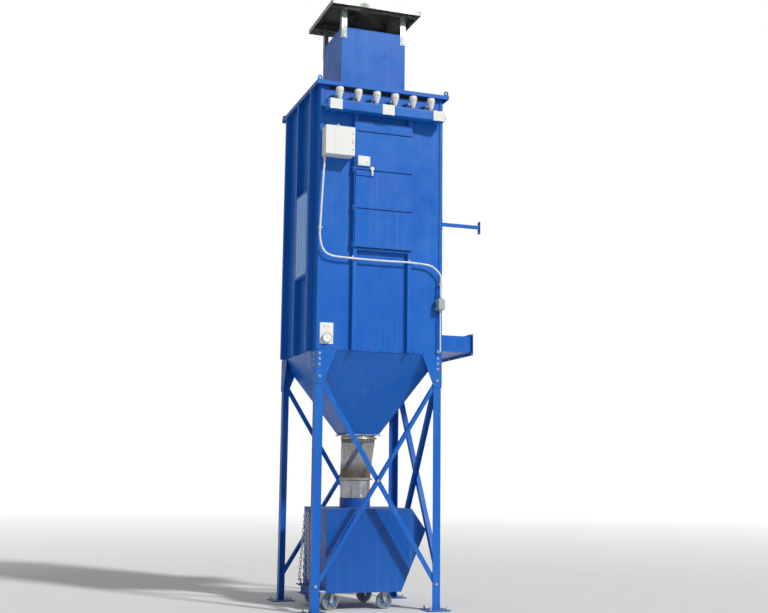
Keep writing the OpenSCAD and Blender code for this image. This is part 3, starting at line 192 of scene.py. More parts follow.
# %% Enamel on sheet steel
def enamel(name, colour, faded, streak, wear, dust="#8FA3BD"):
    """Sprayed enamel: wear is the share of chipped edge, streak the strength of its runs."""
    finish, shader, place = new_finish(name, IOR=1.45, Specular_IOR_Level=0.38,
                                       Coat_Weight=0.04, Coat_Roughness=0.15)
    patches = noise(finish, place, 0.8, 4)
    tone = blend(finish, spread(finish, patches, 0.38, 0.7), colour, faded)
    runs = noise(finish, place, 1, 4, stretch=(16, 16, 0.55))
    runs = spread(finish, runs, 0.53, 0.78, 0, streak)
    tone = blend(finish, runs, tone, dust)
    settled = times(finish, spread(finish, upward(finish), 0.45, 0.95, 0, 0.45),
                    spread(finish, noise(finish, place, 4, 8), 0.15, 0.85))
    tone = blend(finish, settled, tone, dust)
    rounded = soft_edges(finish, 0.004)
    flat = add(finish, "NewGeometry").outputs["True Normal"]
    match = add(finish, "VectorMath", feeds={0: rounded, 1: flat}, operation="DOT_PRODUCT")
    edge = spread(finish, match.outputs["Value"], 0.97, 0.86)
    chipped = spread(finish, noise(finish, place, 30, 5), 0.62 - wear, 0.68 - wear)
    chips = times(finish, edge, chipped)
    tone = blend(finish, chips, tone, "#77808A")
    rough = spread(finish, noise(finish, place, 5, 4), 0.3, 0.7, 0.26, 0.4)
    rough = times(finish, rough, times(finish, times(finish, runs, settled, "MAXIMUM"), 0.5), "ADD")
    waves = bumps(finish, noise(finish, place, 1.3, 1), 0.012, 0.5, rounded)
    # Real orange peel is about 2 mm across, and 9 mm is the finest that shows from the camera
    peel = bumps(finish, noise(finish, place, 110, 2), 0.0004, 0.35, waves)
    feed(finish, Base_Color=tone, Roughness=rough, Normal=peel)
    return finish


blue_enamel = enamel("blue_enamel_on_sheet_steel", "#0A5DBB", "#1668C2", 0.07, 0.03)
worn_enamel = enamel("scuffed_blue_enamel_on_the_bin", "#0A50A4", "#165CAE", 0.12, 0.06)
white_enamel = enamel("white_enamel_on_steel", "#E9EAE8", "#DDDFDC", 0.3, 0.012, "#8E8B83")
print("enamels", blue_enamel.name, worn_enamel.name, white_enamel.name)

# %% [markdown]
# Hot-dip galvanised steel has been through molten zinc. The zinc freezes in crystals called
# spangle, each with its own grey and its own shine, which a Voronoi pattern's cells give.
# Bright zinc plating, as on bolts, has no crystals: it is smooth and a little yellow. Both
# are metals, so their colour is in what they reflect. The chain has stood in the rain, and
# white zinc oxide, which is no metal, covers parts of it.

# %% Zinc finishes
def galvanised(name, dark, light, spangle, rough, dented, underside_shade_and_bloom="#B7BBBC"):
    """Hot-dip zinc, with crystals spangle metres across, and on what faces down a colour that is
    painted shade on the rain cap and the bloom's pale grey elsewhere.
    """
    finish, shader, place = new_finish(name, Metallic=1.0)
    cells = add(finish, "TexVoronoi", {"Scale": 1 / spangle}, {"Vector": place}).outputs["Color"]
    grain = add(finish, "SeparateColor", feeds={0: cells}).outputs[0]
    tone = blend(finish, grain, dark, light)
    bloom = spread(finish, noise(finish, place, 3, 5), 0.5, 0.75, 0, 0.55)
    tone = blend(finish, bloom, tone, "#B7BBBC")
    shine = times(finish, spread(finish, grain, 0, 1, rough, rough + 0.14), bloom, "ADD")
    # What faces down is blended to the underside colour: on the rain cap this is painted shade, a
    # darker underside standing in for the shade under it.
    tone = blend(finish, spread(finish, upward(finish), -0.2, -0.7), tone, underside_shade_and_bloom)
    dents = bumps(finish, noise(finish, place, 9, 2), 0.002, dented, soft_edges(finish, 0.002))
    feed(finish, Base_Color=tone, Roughness=shine, Normal=dents)
    return finish


galvanised_steel = galvanised("hot_dip_galvanised_steel", "#959CA0", "#C4CACC", 0.022, 0.34, 0.4)
bright_sheet = galvanised("bright_galvanised_sheet", "#B4BABD", "#CED3D5", 0.012, 0.22, 0.08)
# The rain cap's near-black underside colour is painted shade.
cap_sheet = galvanised("galvanised_sheet_painted_shade_below", "#8E9590", "#C2C7BC", 0.022, 0.4, 0.3,
                       "#15191E")

zinc_plate, shader, place = new_finish("zinc_plated_steel", Metallic=1.0)
dulled = spread(zinc_plate, noise(zinc_plate, place, 45, 4), 0.4, 0.7)
feed(zinc_plate, Base_Color=blend(zinc_plate, dulled, "#E0E0DA", "#B4B6B4"),
     Roughness=spread(zinc_plate, dulled, 0, 1, 0.24, 0.46),
     Normal=soft_edges(zinc_plate, 0.001))

chain_zinc, shader, place = new_finish("weathered_zinc_on_chain")
bloom = spread(chain_zinc, noise(chain_zinc, place, 70, 4), 0.35, 0.65)
feed(chain_zinc, Base_Color=blend(chain_zinc, bloom, "#E4E6E6", "#C6CACB"),
     Metallic=spread(chain_zinc, bloom, 0, 1, 0.75, 0.3),
     Roughness=spread(chain_zinc, bloom, 0, 1, 0.32, 0.55))
print("metals", galvanised_steel.name, bright_sheet.name, zinc_plate.name)

# %% [markdown]
# The sleeve between the hopper and the bin is clear PVC, so that one sees whether dust is
# bridging. Inside it wears a film of tan dust, thicker low down. Clear PVC alone would be a
# transparent shader under a glossy one. Here that clear part is mixed with a dusty part by
# how much dust clings at each place.

# %% Clear PVC with dust
clear_pvc, shader, place = new_finish("clear_pvc_filmed_with_dust", IOR=1.53, Roughness=0.3)
cling = noise(clear_pvc, place, 6, 5, stretch=(1, 1, 0.45))
height = add(clear_pvc, "SeparateXYZ", feeds={"Vector": place}).outputs["Z"]
low_down = spread(clear_pvc, height, 1.78, 1.62)
film = times(clear_pvc, spread(clear_pvc, cling, 0.3, 0.72, 0.22, 0.5),
             times(clear_pvc, low_down, 0.4), "ADD")
grey = blend(clear_pvc, spread(clear_pvc, cling, 0.35, 0.7), "#5F6265", "#7C7B76")
feed(clear_pvc, Base_Color=blend(clear_pvc, low_down, grey, "#6E5F4C"),
     Alpha=film, Normal=bumps(clear_pvc, noise(clear_pvc, place, 12, 2, stretch=(1, 1, 0.3)), 0.004))
print("clear sleeve", clear_pvc.name)

# %% [markdown]
# The rest are plastics and small finishes: the grey PVC jacket of the conduits, the wheels'
# polyurethane tread on a painted hub, black rubber seals, the gauge's white dial and red pointer, dark
# scratches in the enamel whose colour is painted shade, the shadow inside each scratch, and the pale
# film on the pressure relief panel.

# %% Plastics and small finishes
def moulded(name, colour, worn, rough, grain, depth):
    """A plastic or rubber with a fine grain, grain metres across and depth metres deep."""
    finish, shader, place = new_finish(name, IOR=1.49)
    scuffs = spread(finish, noise(finish, place, 18, 5), 0.45, 0.75)
    feed(finish, Base_Color=blend(finish, scuffs, colour, worn),
         Roughness=spread(finish, scuffs, 0, 1, rough, rough + 0.18),
         Normal=bumps(finish, noise(finish, place, 1 / grain, 2), depth, 0.5,
                      soft_edges(finish, 0.0015)))
    return finish


grey_jacket = moulded("grey_pvc_conduit_jacket", "#DCE0E3", "#C2C6C8", 0.38, 0.006, 0.0003)
box_grey = moulded("grey_die_cast_box", "#A9AEB1", "#8F9599", 0.42, 0.004, 0.0004)
tread_grey = moulded("grey_polyurethane_tread", "#8E9196", "#75777A", 0.5, 0.005, 0.0005)
hub_blue = moulded("blue_grey_painted_hub", "#5D7894", "#76899B", 0.4, 0.008, 0.0004)
seal_black = moulded("black_sponge_rubber", "#1C1D1F", "#2B2C2E", 0.75, 0.003, 0.0006)
dial_white = moulded("white_dial_enamel", "#F0F0EC", "#E6E6E1", 0.3, 0.01, 0.0001)
pointer_red = moulded("red_dial_enamel", "#B3261E", "#9C2A22", 0.35, 0.01, 0.0001)
scratches_and_painted_shade = moulded("enamel_scratches_painted_shade", "#143055", "#24456F", 0.5, 0.01, 0.0003)
foil = moulded("pale_blue_relief_panel_film", "#86B8FA", "#9AC6FC", 0.45, 0.03, 0.001)
print("plastics", grey_jacket.name, tread_grey.name, seal_black.name)

# %% [markdown]
# Each solid already has an empty material slot from CAD. The record says which finish it was
# made in, and a few get a closer one, such as the bin, which is knocked about more than the
# housing.

# %% Dress the solids
finishes = {"blue_paint": blue_enamel, "white_paint": white_enamel, "white_plate": white_enamel,
            "galvanised": galvanised_steel, "vent_foil": foil, "clear_plastic": clear_pvc,
            "conduit_grey": grey_jacket, "wheel_grey": tread_grey}
closer = {"sleeve_band": bright_sheet, "rain_cap": cap_sheet, "junction_box": box_grey,
          "pressure_gauge": box_grey, "chain_hooks": worn_enamel}
closer.update({name: worn_enamel for name in ("bin_sides", "bin_shell", "bin_lid", "bin_deck",
                                              "end_channel", "base_plates")})
for part in frame["record"]["subparts"]:
    solid = frame["nodes"][part["node"]]
    solid.data.materials.clear()
    solid.data.materials.append(closer.get(part["node"], finishes[part["material_slot"]]))

# %% [markdown]
# A studio for something eight metres tall: a wide pale floor that turns white far away, so
# that no horizon shows, an even white sky that lights softly from all round, and one large
# soft sun from the right and above that gives the front its brightness and the floor its
# shadow. The sky's full white is only for the camera. What reflects it sees the dimmer sky
# that also lights the scene, or the enamel would look washed out at a flat angle.

# %% Floor, sky and sun
bm = bmesh.new()
bmesh.ops.create_circle(bm, cap_ends=True, segments=96, radius=90)
mesh = bpy.data.meshes.new("studio_floor")
bm.to_mesh(mesh)
bm.free()
floor = bpy.data.objects.new("studio_floor", mesh)
bpy.context.scene.collection.objects.link(floor)

concrete, shader, place = new_finish("pale_studio_floor", Roughness=0.9)
feed(concrete, Base_Color=blend(concrete, noise(concrete, place, 2.5, 4), "#DFDFDC", "#E6E6E3"))
far = add(concrete, "VectorMath", feeds={0: place}, operation="LENGTH").outputs["Value"]
whitens_from, white_at = 6, 34
away = times(concrete, spread(concrete, far, whitens_from, white_at), in_sight(concrete))
white = add(concrete, "Emission", {"Color": (1, 1, 1, 1), "Strength": 1.0}).outputs[0]
mixed = add(concrete, "MixShader", feeds={0: away, 1: shader.outputs[0], 2: white}).outputs[0]
concrete.node_tree.links.new(mixed, concrete.node_tree.nodes["Material Output"].inputs["Surface"])
mesh.materials.append(concrete)

sky = bpy.data.worlds.new("studio_sky")
sky.use_nodes = True
bpy.context.scene.world = sky
lit = sky.node_tree.nodes["Background"]
lit.inputs["Color"].default_value = (1, 1, 1, 1)
lit.inputs["Strength"].default_value = 0.38
shown = add(sky, "Background", {"Color": (1, 1, 1, 1), "Strength": 1.0}).outputs[0]
mixed = add(sky, "MixShader", feeds={0: in_sight(sky), 1: lit.outputs[0], 2: shown}).outputs[0]
sky.node_tree.links.new(mixed, sky.node_tree.nodes["World Output"].inputs["Surface"])

sun = bpy.data.lights.new("soft_sun", "SUN")
sun.energy = 2.7
sun.angle = 0.1
sun_place = bpy.data.objects.new("soft_sun", sun)
sun_from = Vector((0.42, -0.72, 0.62))
sun_place.matrix_world = sun_from.to_track_quat("Z", "Y").to_matrix().to_4x4()
bpy.context.scene.collection.objects.link(sun_place)
bpy.context.scene.view_settings.view_transform = "Standard"
print("sun", sun.energy, "sky", lit.inputs["Strength"].default_value)

# %% [markdown]
# Every new piece starts as a bmesh: a cube, a cone or a few vertices, shaped by operators
# such as bevel and spin, in its real place. Small helpers draw a rounded block, a rod, the
# edging of a plate, a turned shape and a tube along a line, and stamp copies of a small
# pattern. One turns the bmesh into an object that rides on one of the collector's bodies.
# Edges that turn by less than 35 degrees are smoothed and sharper ones kept, as on real
# pressed and machined parts. A Weighted Normal modifier keeps large flat faces flat beside
# their small rounded edges.

# %% Shaping helpers
LEFT, RIGHT, FRONT, BACK = (-1, 0, 0), (1, 0, 0), (0, -1, 0), (0, 1, 0)
DOWN, UP = (0, 0, -1), (0, 0, 1)
BOTH = (-1, 1)
CORNERS = [(x, y) for x in BOTH for y in BOTH]


def at(point, facing=UP, turn=0.0):
    """A place: its origin, the way its Z axis faces and a turn round that axis in degrees."""
    aim = Vector(facing).to_track_quat("Z", "Y").to_matrix().to_4x4()
    return Matrix.Translation(point) @ aim @ Matrix.Rotation(math.radians(turn), 4, "Z")


def round_z(degrees, radius, height=0.0):
    """A point on a circle round the Z axis."""
    turn = math.radians(degrees)
    return Vector((radius * math.cos(turn), radius * math.sin(turn), height))


def block(bm, low, high, rounded=0.0, segments=2):
    """A cuboid from its low to its high corner, with rounded edges."""
    low, high = Vector(low), Vector(high)
    size = Matrix.Diagonal((*(high - low), 1))
    made = bmesh.ops.create_cube(bm, size=1, matrix=Matrix.Translation((low + high) / 2) @ size)
    if rounded:
        edges = list({edge for vert in made["verts"] for edge in vert.link_edges})
        bmesh.ops.bevel(bm, geom=edges, offset=rounded, affect="EDGES", segments=segments,
                        profile=0.5, material=-1)


def rod(bm, start, end, radius, sides=20, end_radius=None):
    """A straight rod or cone between two points."""
    start, end = Vector(start), Vector(end)
    bmesh.ops.create_cone(bm, cap_ends=True, segments=sides, radius1=radius,
                          radius2=radius if end_radius is None else end_radius,
                          depth=(end - start).length,
                          matrix=at((start + end) / 2, end - start))


def edging(bm, low, high, z, radius, sides, inset=0.0, short=0.0):
    """Four rods along the edges of a rectangle, inset from them and short of its corners."""
    for y in (low.y + inset, high.y - inset):
        rod(bm, (low.x + short, y, z), (high.x - short, y, z), radius, sides)
    for x in (low.x + inset, high.x - inset):
        rod(bm, (x, low.y + short, z), (x, high.y - short, z), radius, sides)


def turned(bm, outline, place=Matrix(), steps=32):
    """A shape turned round Z from an outline of (radius, height) points, then put in place."""
    verts = [bm.verts.new((radius, 0, height)) for radius, height in outline]
    edges = [bm.edges.new(pair) for pair in zip(verts, verts[1:])]
    made = bmesh.ops.spin(bm, geom=verts + edges, cent=(0, 0, 0), axis=UP,
                          angle=2 * math.pi, steps=steps, use_merge=True)
    grown = set(verts) | {item for item in made["geom_last"] if isinstance(item, bmesh.types.BMVert)}
    fresh = set(grown)
    while fresh:
        fresh = {edge.other_vert(vert) for vert in fresh for edge in vert.link_edges} - grown
        grown |= fresh
    bmesh.ops.remove_doubles(bm, verts=list(grown), dist=1e-6)
    kept = [vert for vert in grown if vert.is_valid]
    faces = list({face for vert in kept for face in vert.link_faces})
    bmesh.ops.recalc_face_normals(bm, faces=faces)
    bmesh.ops.transform(bm, matrix=place, verts=kept)


def pattern(name, draw):
    """A small mesh, drawn once and stamped many times."""
    bm = bmesh.new()
    draw(bm)
    mesh = bpy.data.meshes.new(name)
    bm.to_mesh(mesh)
    bm.free()
    return mesh


def stamp(bm, mesh, places):
    """Copies of a pattern at several places."""
    for place in places:
        moved = mesh.copy()
        moved.transform(place)
        bm.from_mesh(moved)
        bpy.data.meshes.remove(moved)


def piece(name, bm, finish, slot, body="collector", stands_for=(), smooth=35):
    """A finished piece: a bmesh in its place, with its finish, riding on a body."""
    for face in bm.faces:
        face.smooth = True
    for edge in bm.edges:
        edge.smooth = edge.calc_face_angle(math.pi) < math.radians(smooth)
    mesh = bpy.data.meshes.new(name)
    bm.to_mesh(mesh)
    bm.free()
    mesh.materials.append(finish)
    made = bpy.data.objects.new(name, mesh)
    bpy.context.scene.collection.objects.link(made)
    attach(made, body)
    if stands_for:
        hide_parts(*stands_for)
    made.modifiers.new("flat_faces", "WEIGHTED_NORMAL").keep_sharp = True
    print(name, len(mesh.polygons), "faces")
    return made


def stamped(name, mesh, places, finish, slot, **more):
    """A piece made only of copies of one pattern."""
    bm = bmesh.new()
    stamp(bm, mesh, places)
    return piece(name, bm, finish, slot, **more)


def on_front(low, high, inset, y, turn=0.0):
    """Four places on a face that looks to the front, inset from the corners of a box."""
    return [at((x, y, z), FRONT, turn) for x in (low.x + inset, high.x - inset)
            for z in (low.z + inset, high.z - inset)]


def sweep(name, points, radius, sides=4):
    """A mesh tube along points, from a curve with a round bevel."""
    line = bpy.data.curves.new(name, "CURVE")
    line.dimensions = "3D"
    line.bevel_depth = radius
    line.bevel_resolution = sides
    line.use_fill_caps = True
    spline = line.splines.new("POLY")
    spline.points.add(len(points) - 1)
    for spot, point in zip(spline.points, points):
        spot.co = (*point, 1)
    return mesh_of(line)


def mesh_of(curve):
    """The mesh of a curve or a text."""
    holder = bpy.data.objects.new(curve.name, curve)
    mesh = bpy.data.meshes.new_from_object(holder)
    bpy.data.objects.remove(holder)
    return mesh


def through(points, steps):
    """A smooth line through points, each a Vector, with some steps between each two."""
    line, last = [], len(points) - 1
    for i in range(last):
        a, b, c, d = points[max(i - 1, 0)], points[i], points[i + 1], points[min(i + 2, last)]
        for step in range(steps):
            t = step / steps
            line.append(0.5 * (2 * b + (c - a) * t + (2 * a - 5 * b + 4 * c - d) * t * t
                               + (3 * b - a - 3 * c + d) * t ** 3))
    return line + [points[-1]]


# %% [markdown]
# Bolts are the most repeated piece, so each kind is drawn once. A hex bolt head has a
# chamfered top, on a flat washer. An anchor is a threaded stud that comes up out of the floor
# through the base plate, with a washer and a nut.

# %% Bolt, anchor and screw patterns
def draw_bolt(size, head_tall, washer_wide):
    """Draws a hex head of a given thread size, seated on a washer at z = 0."""
    def draw(bm):
        washer, across = size * 0.16, size * 0.87
        shoulder = washer + head_tall * 0.82
        rod(bm, (0, 0, 0), (0, 0, washer), washer_wide / 2, 20)
        rod(bm, (0, 0, washer), (0, 0, shoulder), across, 6)
        rod(bm, (0, 0, shoulder), (0, 0, washer + head_tall), across, 6, across * 0.86)
    return draw


def draw_anchor(bm):
    """Draws an M20 anchor: washer, nut and the end of its stud, with its ridges of thread."""
    washer, nut, chamfer, ridge = 0.003, 0.017, 0.0195, 0.0028
    stud_r, crest_r, nut_r = 0.0088, 0.010, 0.0173
    rod(bm, (0, 0, 0), (0, 0, washer), 0.0185, 24)
    rod(bm, (0, 0, washer), (0, 0, nut), nut_r, 6)
    rod(bm, (0, 0, nut), (0, 0, chamfer), nut_r, 6, 0.0152)
    for i in range(8):
        foot = chamfer + i * ridge
        rod(bm, (0, 0, foot), (0, 0, foot + ridge / 2), stud_r, 14, crest_r)
        rod(bm, (0, 0, foot + ridge / 2), (0, 0, foot + ridge), crest_r, 14, stud_r)
    rod(bm, (0, 0, -0.012), (0, 0, 0), crest_r, 14)


def draw_screw(bm):
    """Draws a small pan-head screw."""
    turned(bm, [(0, 0.0032), (0.0025, 0.003), (0.0045, 0.0018), (0.005, 0), (0, 0)], steps=12)


m8_bolt = pattern("m8_bolt", draw_bolt(0.008, 0.0055, 0.018))
m12_bolt = pattern("m12_bolt", draw_bolt(0.012, 0.008, 0.026))
m16_bolt = pattern("m16_bolt", draw_bolt(0.016, 0.0105, 0.034))
anchor_stud = pattern("anchor_stud", draw_anchor)
pan_screw = pattern("pan_screw", draw_screw)
print("bolt faces", len(m16_bolt.polygons), "anchor faces", len(anchor_stud.polygons))

# %% [markdown]
# The frame is bolted together on site: each corner gusset by three bolts to its leg, each
# brace by one at either end, and one more where two braces cross. The walls are bolted to the
# hopper's lip along their lower edge. Places come from the sizes of the solids, so a bolt
# always lies flat on the plate that it holds.

# %% Frame bolts
leg_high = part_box("legs")[1]
gusset_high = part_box("corner_gussets")[1]
heel_x, heel_y = leg_high.x, leg_high.y
face_x, face_y = gusset_high.x, gusset_high.y
brace_low, brace_high = 0.315, 2.795
brace_mid = (brace_low + brace_high) / 2
leg_t, bolt_in = 0.008, 0.050
gusset_in, gusset_rows = 0.049, (2.940, 3.006, 3.073)

frame_bolts = []
for x, y in CORNERS:
    for z in gusset_rows:
        frame_bolts.append(at((x * (face_x - gusset_in), y * face_y, z), (0, y, 0), z * 900))
        frame_bolts.append(at((x * face_x, y * (face_y - gusset_in), z), (x, 0, 0), z * 700))
    frame_bolts.append(at((x * (heel_x - bolt_in), y * heel_y, brace_low), (0, y, 0), 11))
    frame_bolts.append(at((x * (heel_x - bolt_in), y * face_y, brace_high), (0, y, 0), 41))
for side in BOTH:
    frame_bolts.append(at((heel_x, side * (heel_y - bolt_in), brace_low), RIGHT, 25))
    frame_bolts.append(at((face_x, side * (heel_y - bolt_in), brace_high), RIGHT, 5))
    frame_bolts.append(at((0, side * (heel_y - leg_t), brace_mid), (0, side, 0)))
frame_bolts.append(at((heel_x - leg_t, 0, brace_mid), RIGHT, 18))
stamped("frame_bolts", m16_bolt, frame_bolts, zinc_plate, "galvanised")

# %% Lower wall bolts
lip_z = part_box("front_panel")[0].z + 0.021
wall_pitch, front_rib_x, side_rib_x, rib_clear = 0.147, 0.36, 0.6, 0.045
wall_bolts = []
for i in range(11):
    across = (i - 5) * wall_pitch
    if abs(abs(across) - front_rib_x) > rib_clear:
        wall_bolts.append(at((across, -face_y, lip_z), FRONT, i * 23))
    if min(abs(across), abs(abs(across) - side_rib_x)) > rib_clear:
        wall_bolts.append(at((across, face_y, lip_z), BACK, i * 17))
        wall_bolts.append(at((-face_x, across, lip_z), LEFT, i * 31))
        wall_bolts.append(at((face_x, across, lip_z), RIGHT, i * 13))
stamped("lower_wall_bolts", m12_bolt, wall_bolts, blue_enamel, "blue_paint")

# %% Anchors in the floor
plate_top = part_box("base_plates")[1].z
plate_x, plate_y, anchor_out = 0.770, 0.765, 0.105
anchors = [at((x * plate_x + dx * anchor_out, y * plate_y + dy * anchor_out, plate_top), UP,
              37 * dx + 20 * x) for x, y in CORNERS for dx, dy in CORNERS]
stamped("anchor_studs", anchor_stud, anchors, zinc_plate, "galvanised")

# %% [markdown]
# Where plates meet they are welded. A bead laid by hand is a row of small overlapping
# ripples, and it is painted over with the rest. One ripple is drawn as a squat ring and
# stamped along each seam. The ribs are only tacked, with a short bead every hand's breadth.

# %% Weld beads
ripple_l = 0.004


def draw_ripple(bm):
    """Draws one ripple of a bead that runs along Z."""
    rod(bm, (0, 0, 0), (0, 0, ripple_l / 2), 0.0036, 7, 0.0046)
    rod(bm, (0, 0, ripple_l / 2), (0, 0, ripple_l), 0.0046, 7, 0.0036)


def draw_tack(bm):
    """Draws a short tack bead along Z, about 30 mm long with rounded ends."""
    turned(bm, [(0, -0.016), (0.0035, -0.013), (0.0045, 0), (0.0035, 0.013), (0, 0.016)], steps=7)


def bead(start, end):
    """The places of a bead's ripples between two points."""
    start, end = Vector(start), Vector(end)
    count = max(1, round((end - start).length / ripple_l))
    return [at(start.lerp(end, i / count), end - start, 40 * i) for i in range(count)]


ripple = pattern("weld_ripple", draw_ripple)
tack = pattern("weld_tack", draw_tack)
leg_w, gusset_foot, housing_z, outlet_half = 0.1, 2.712, 3.12, 0.21
seams = []
for x, y in CORNERS:
    heel = Vector((x * heel_x, y * heel_y, plate_top))
    seams += bead(heel, heel - Vector((x * leg_w, 0, 0))) + bead(heel, heel - Vector((0, y * leg_w, 0)))
    seams += bead((x * face_x, y * face_y, gusset_foot), (x * face_x, y * face_y, housing_z))
outlet_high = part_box("outlet_collar")[1]
outlet_left = Vector((-outlet_half, -outlet_half, outlet_high.z))
one_side = bead(outlet_left, outlet_left + Vector((2 * outlet_half, 0, 0)))
one_side += bead(outlet_left + Vector((0, 0, 0.01)), (-0.805, -0.802, 3.108))
for turn in range(4):
    seams += [Matrix.Rotation(turn * math.pi / 2, 4, "Z") @ place for place in one_side]
stamped("weld_beads", ripple, seams, blue_enamel, "blue_paint")

# %% Rib tacks
tack_low, tack_pitch, header_z, duct_top = 3.2, 0.145, 6.13, 3.45
tacks = []
for i in range(22):
    z = tack_low + i * tack_pitch
    for edge in (-0.0255, 0.0255):
        if z < header_z:
            tacks += [at((side * front_rib_x + edge, -face_y, z)) for side in BOTH]
        for lane in (-side_rib_x, 0, side_rib_x):
            tacks += [at((-face_x, lane + edge, z)), at((lane + edge, face_y, z))]
            if z > duct_top:
                tacks.append(at((face_x, lane + edge, z)))
stamped("rib_tacks", tack, tacks, blue_enamel, "blue_paint")

# %% [markdown]
# Six diaphragm valves stand on the air manifold. Each is a casting that opens like a funnel
# from its foot to a wide flange, with a cap held on by eight screws and a small pilot on top.
# Its outlet pipe runs back through the wall. The castings are turned shapes, so each is an
# outline spun round its axis, with thin ribs down the funnel.

# %% Pulse valves
manifold_low, manifold_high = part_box("air_manifold")
manifold_y = (manifold_low.y + manifold_high.y) / 2
valve_pitch, pipe_up = 0.244, 0.076
valve_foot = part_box("pulse_valves")[0].z
valve_places = [Matrix.Translation(((i - 2.5) * valve_pitch, manifold_y, valve_foot)) for i in range(6)]


def draw_valve(bm):
    """Draws a valve's casting, with its foot at the origin."""
    turned(bm, [(0, 0.0), (0.0235, 0.0), (0.025, 0.0015), (0.025, 0.006), (0.0225, 0.0075),
                (0.0225, 0.028), (0.0245, 0.032), (0.030, 0.055), (0.0375, 0.085), (0.043, 0.108),
                (0.0445, 0.116), (0.0495, 0.118), (0.051, 0.1195), (0.051, 0.1295),
                (0.0498, 0.1305), (0.0498, 0.1325), (0.051, 0.1335), (0.051, 0.1425),
                (0.0490, 0.145), (0.0488, 0.1655), (0.0470, 0.1705), (0.0420, 0.1730),
                (0.012, 0.1745), (0, 0.1745)], steps=40)
    turned(bm, [(0, 0.022), (0.0255, 0.022), (0.0275, 0.0245), (0.0275, 0.052), (0.0255, 0.0545),
                (0, 0.0545)], at((0, 0, pipe_up), BACK), 24)
    for turn in range(30, 360, 60):
        rod(bm, round_z(turn, 0.0235, 0.036), round_z(turn, 0.0455, 0.117), 0.003, 8)


def draw_valve_steel(bm):
    """Draws a valve's nut, screws, pilot and outlet pipe."""
    rod(bm, (0, 0, 0.0075), (0, 0, 0.022), 0.0285, 6)
    rod(bm, (0, 0, 0.022), (0, 0, 0.025), 0.0285, 6, 0.0255)
    rod(bm, (0, 0, 0.1745), (0, 0, 0.178), 0.0085, 6)
    rod(bm, (0, 0, 0.178), (0, 0, 0.18), 0.0075, 6, 0.006)
    for i in range(8):
        foot = round_z(22.5 + 45 * i, 0.0385, 0.1728)
        rod(bm, foot, foot + Vector((0, 0, 0.0045)), 0.0042, 6)
    reach = -face_y - manifold_y
    turned(bm, [(0, 0.02), (0.021, 0.02), (0.021, reach - 0.028), (0.029, reach - 0.028),
                (0.0305, reach - 0.026), (0.0305, reach - 0.010), (0.036, reach - 0.009),
                (0.036, reach), (0, reach)], at((0, 0, pipe_up), BACK), 28)


valve_casting = pattern("valve_casting", draw_valve)
valve_steel = pattern("valve_steel", draw_valve_steel)
stamped("valve_castings", valve_casting, valve_places, white_enamel, "white_paint",
        stands_for=["pulse_valves"])
stamped("valve_fittings", valve_steel, valve_places, zinc_plate, "galvanised")

# %% [markdown]
# The manifold is a square tube with a plate welded on either end, and a hex plug in each
# end. Three blue straps carry it, each bent round it and bolted to the wall through the ear
# at its top, with a wide white plate on its front.

# %% Manifold ends
manifold_half, manifold_w, weld_half = 0.78, 0.125, 0.058
plugs, end_welds = bmesh.new(), []
for side in BOTH:
    end = Vector((side * manifold_half, manifold_y, manifold_high.z - manifold_w / 2))
    square = [end + Vector((0, y * weld_half, z * weld_half))
              for y, z in ((-1, -1), (1, -1), (1, 1), (-1, 1))]
    for start, stop in zip(square, square[1:] + square[:1]):
        end_welds += bead(start, stop)
    turned(plugs, [(0, 0), (0.0245, 0), (0.0245, 0.016), (0.0225, 0.018), (0, 0.018)],
           at(end, (side, 0, 0)), 24)
    rod(plugs, end + Vector((side * 0.018, 0, 0)), end + Vector((side * 0.029, 0, 0)), 0.0165, 6)
stamped("manifold_welds", ripple, end_welds, blue_enamel, "blue_paint")
piece("manifold_plugs", plugs, zinc_plate, "galvanised")

# %% Manifold straps
clamp_low, clamp_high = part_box("manifold_clamps")
strap_half, strap_t, ear_h, plate_half = 0.03, 0.004, 0.042, 0.08
strap_mid = (clamp_low.x + clamp_high.x) / 2
strap_apart = clamp_high.x - plate_half - strap_mid
straps, plates, strap_bolts = bmesh.new(), bmesh.new(), []
for x in (strap_mid - strap_apart, strap_mid, strap_mid + strap_apart):
    left, right = x - strap_half, x + strap_half
    for z in (clamp_high.z - strap_t, clamp_low.z):
        block(straps, (left, clamp_low.y, z), (right, -face_y, z + strap_t), 0.001)
    block(straps, (left, -face_y - strap_t, clamp_high.z - strap_t),
          (right, -face_y, clamp_high.z + ear_h), 0.001)
    strap_bolts.append(at((x, -face_y - strap_t, clamp_high.z + 0.024), FRONT, 15))
    block(plates, (x - plate_half, clamp_low.y, clamp_low.z),
          (x + plate_half, clamp_low.y + strap_t, clamp_high.z), 0.0015)
piece("manifold_straps", straps, blue_enamel, "blue_paint", stands_for=["manifold_clamps"])
piece("manifold_plates", plates, white_enamel, "white_paint")
stamped("strap_bolts", m12_bolt, strap_bolts, zinc_plate, "galvanised")

# %% [markdown]
# The access covers are pans folded from 3 mm sheet. They close on a bulb seal of black sponge rubber,
# which shows as a dark line in every seam between them, and a thin drip lip over each seam throws its
# shadow on it. A longer black strip in the same rubber lies between the roof's rim and the front wall,
# behind the valves, as painted shade: it stands for the dark band of shadow under the rim.

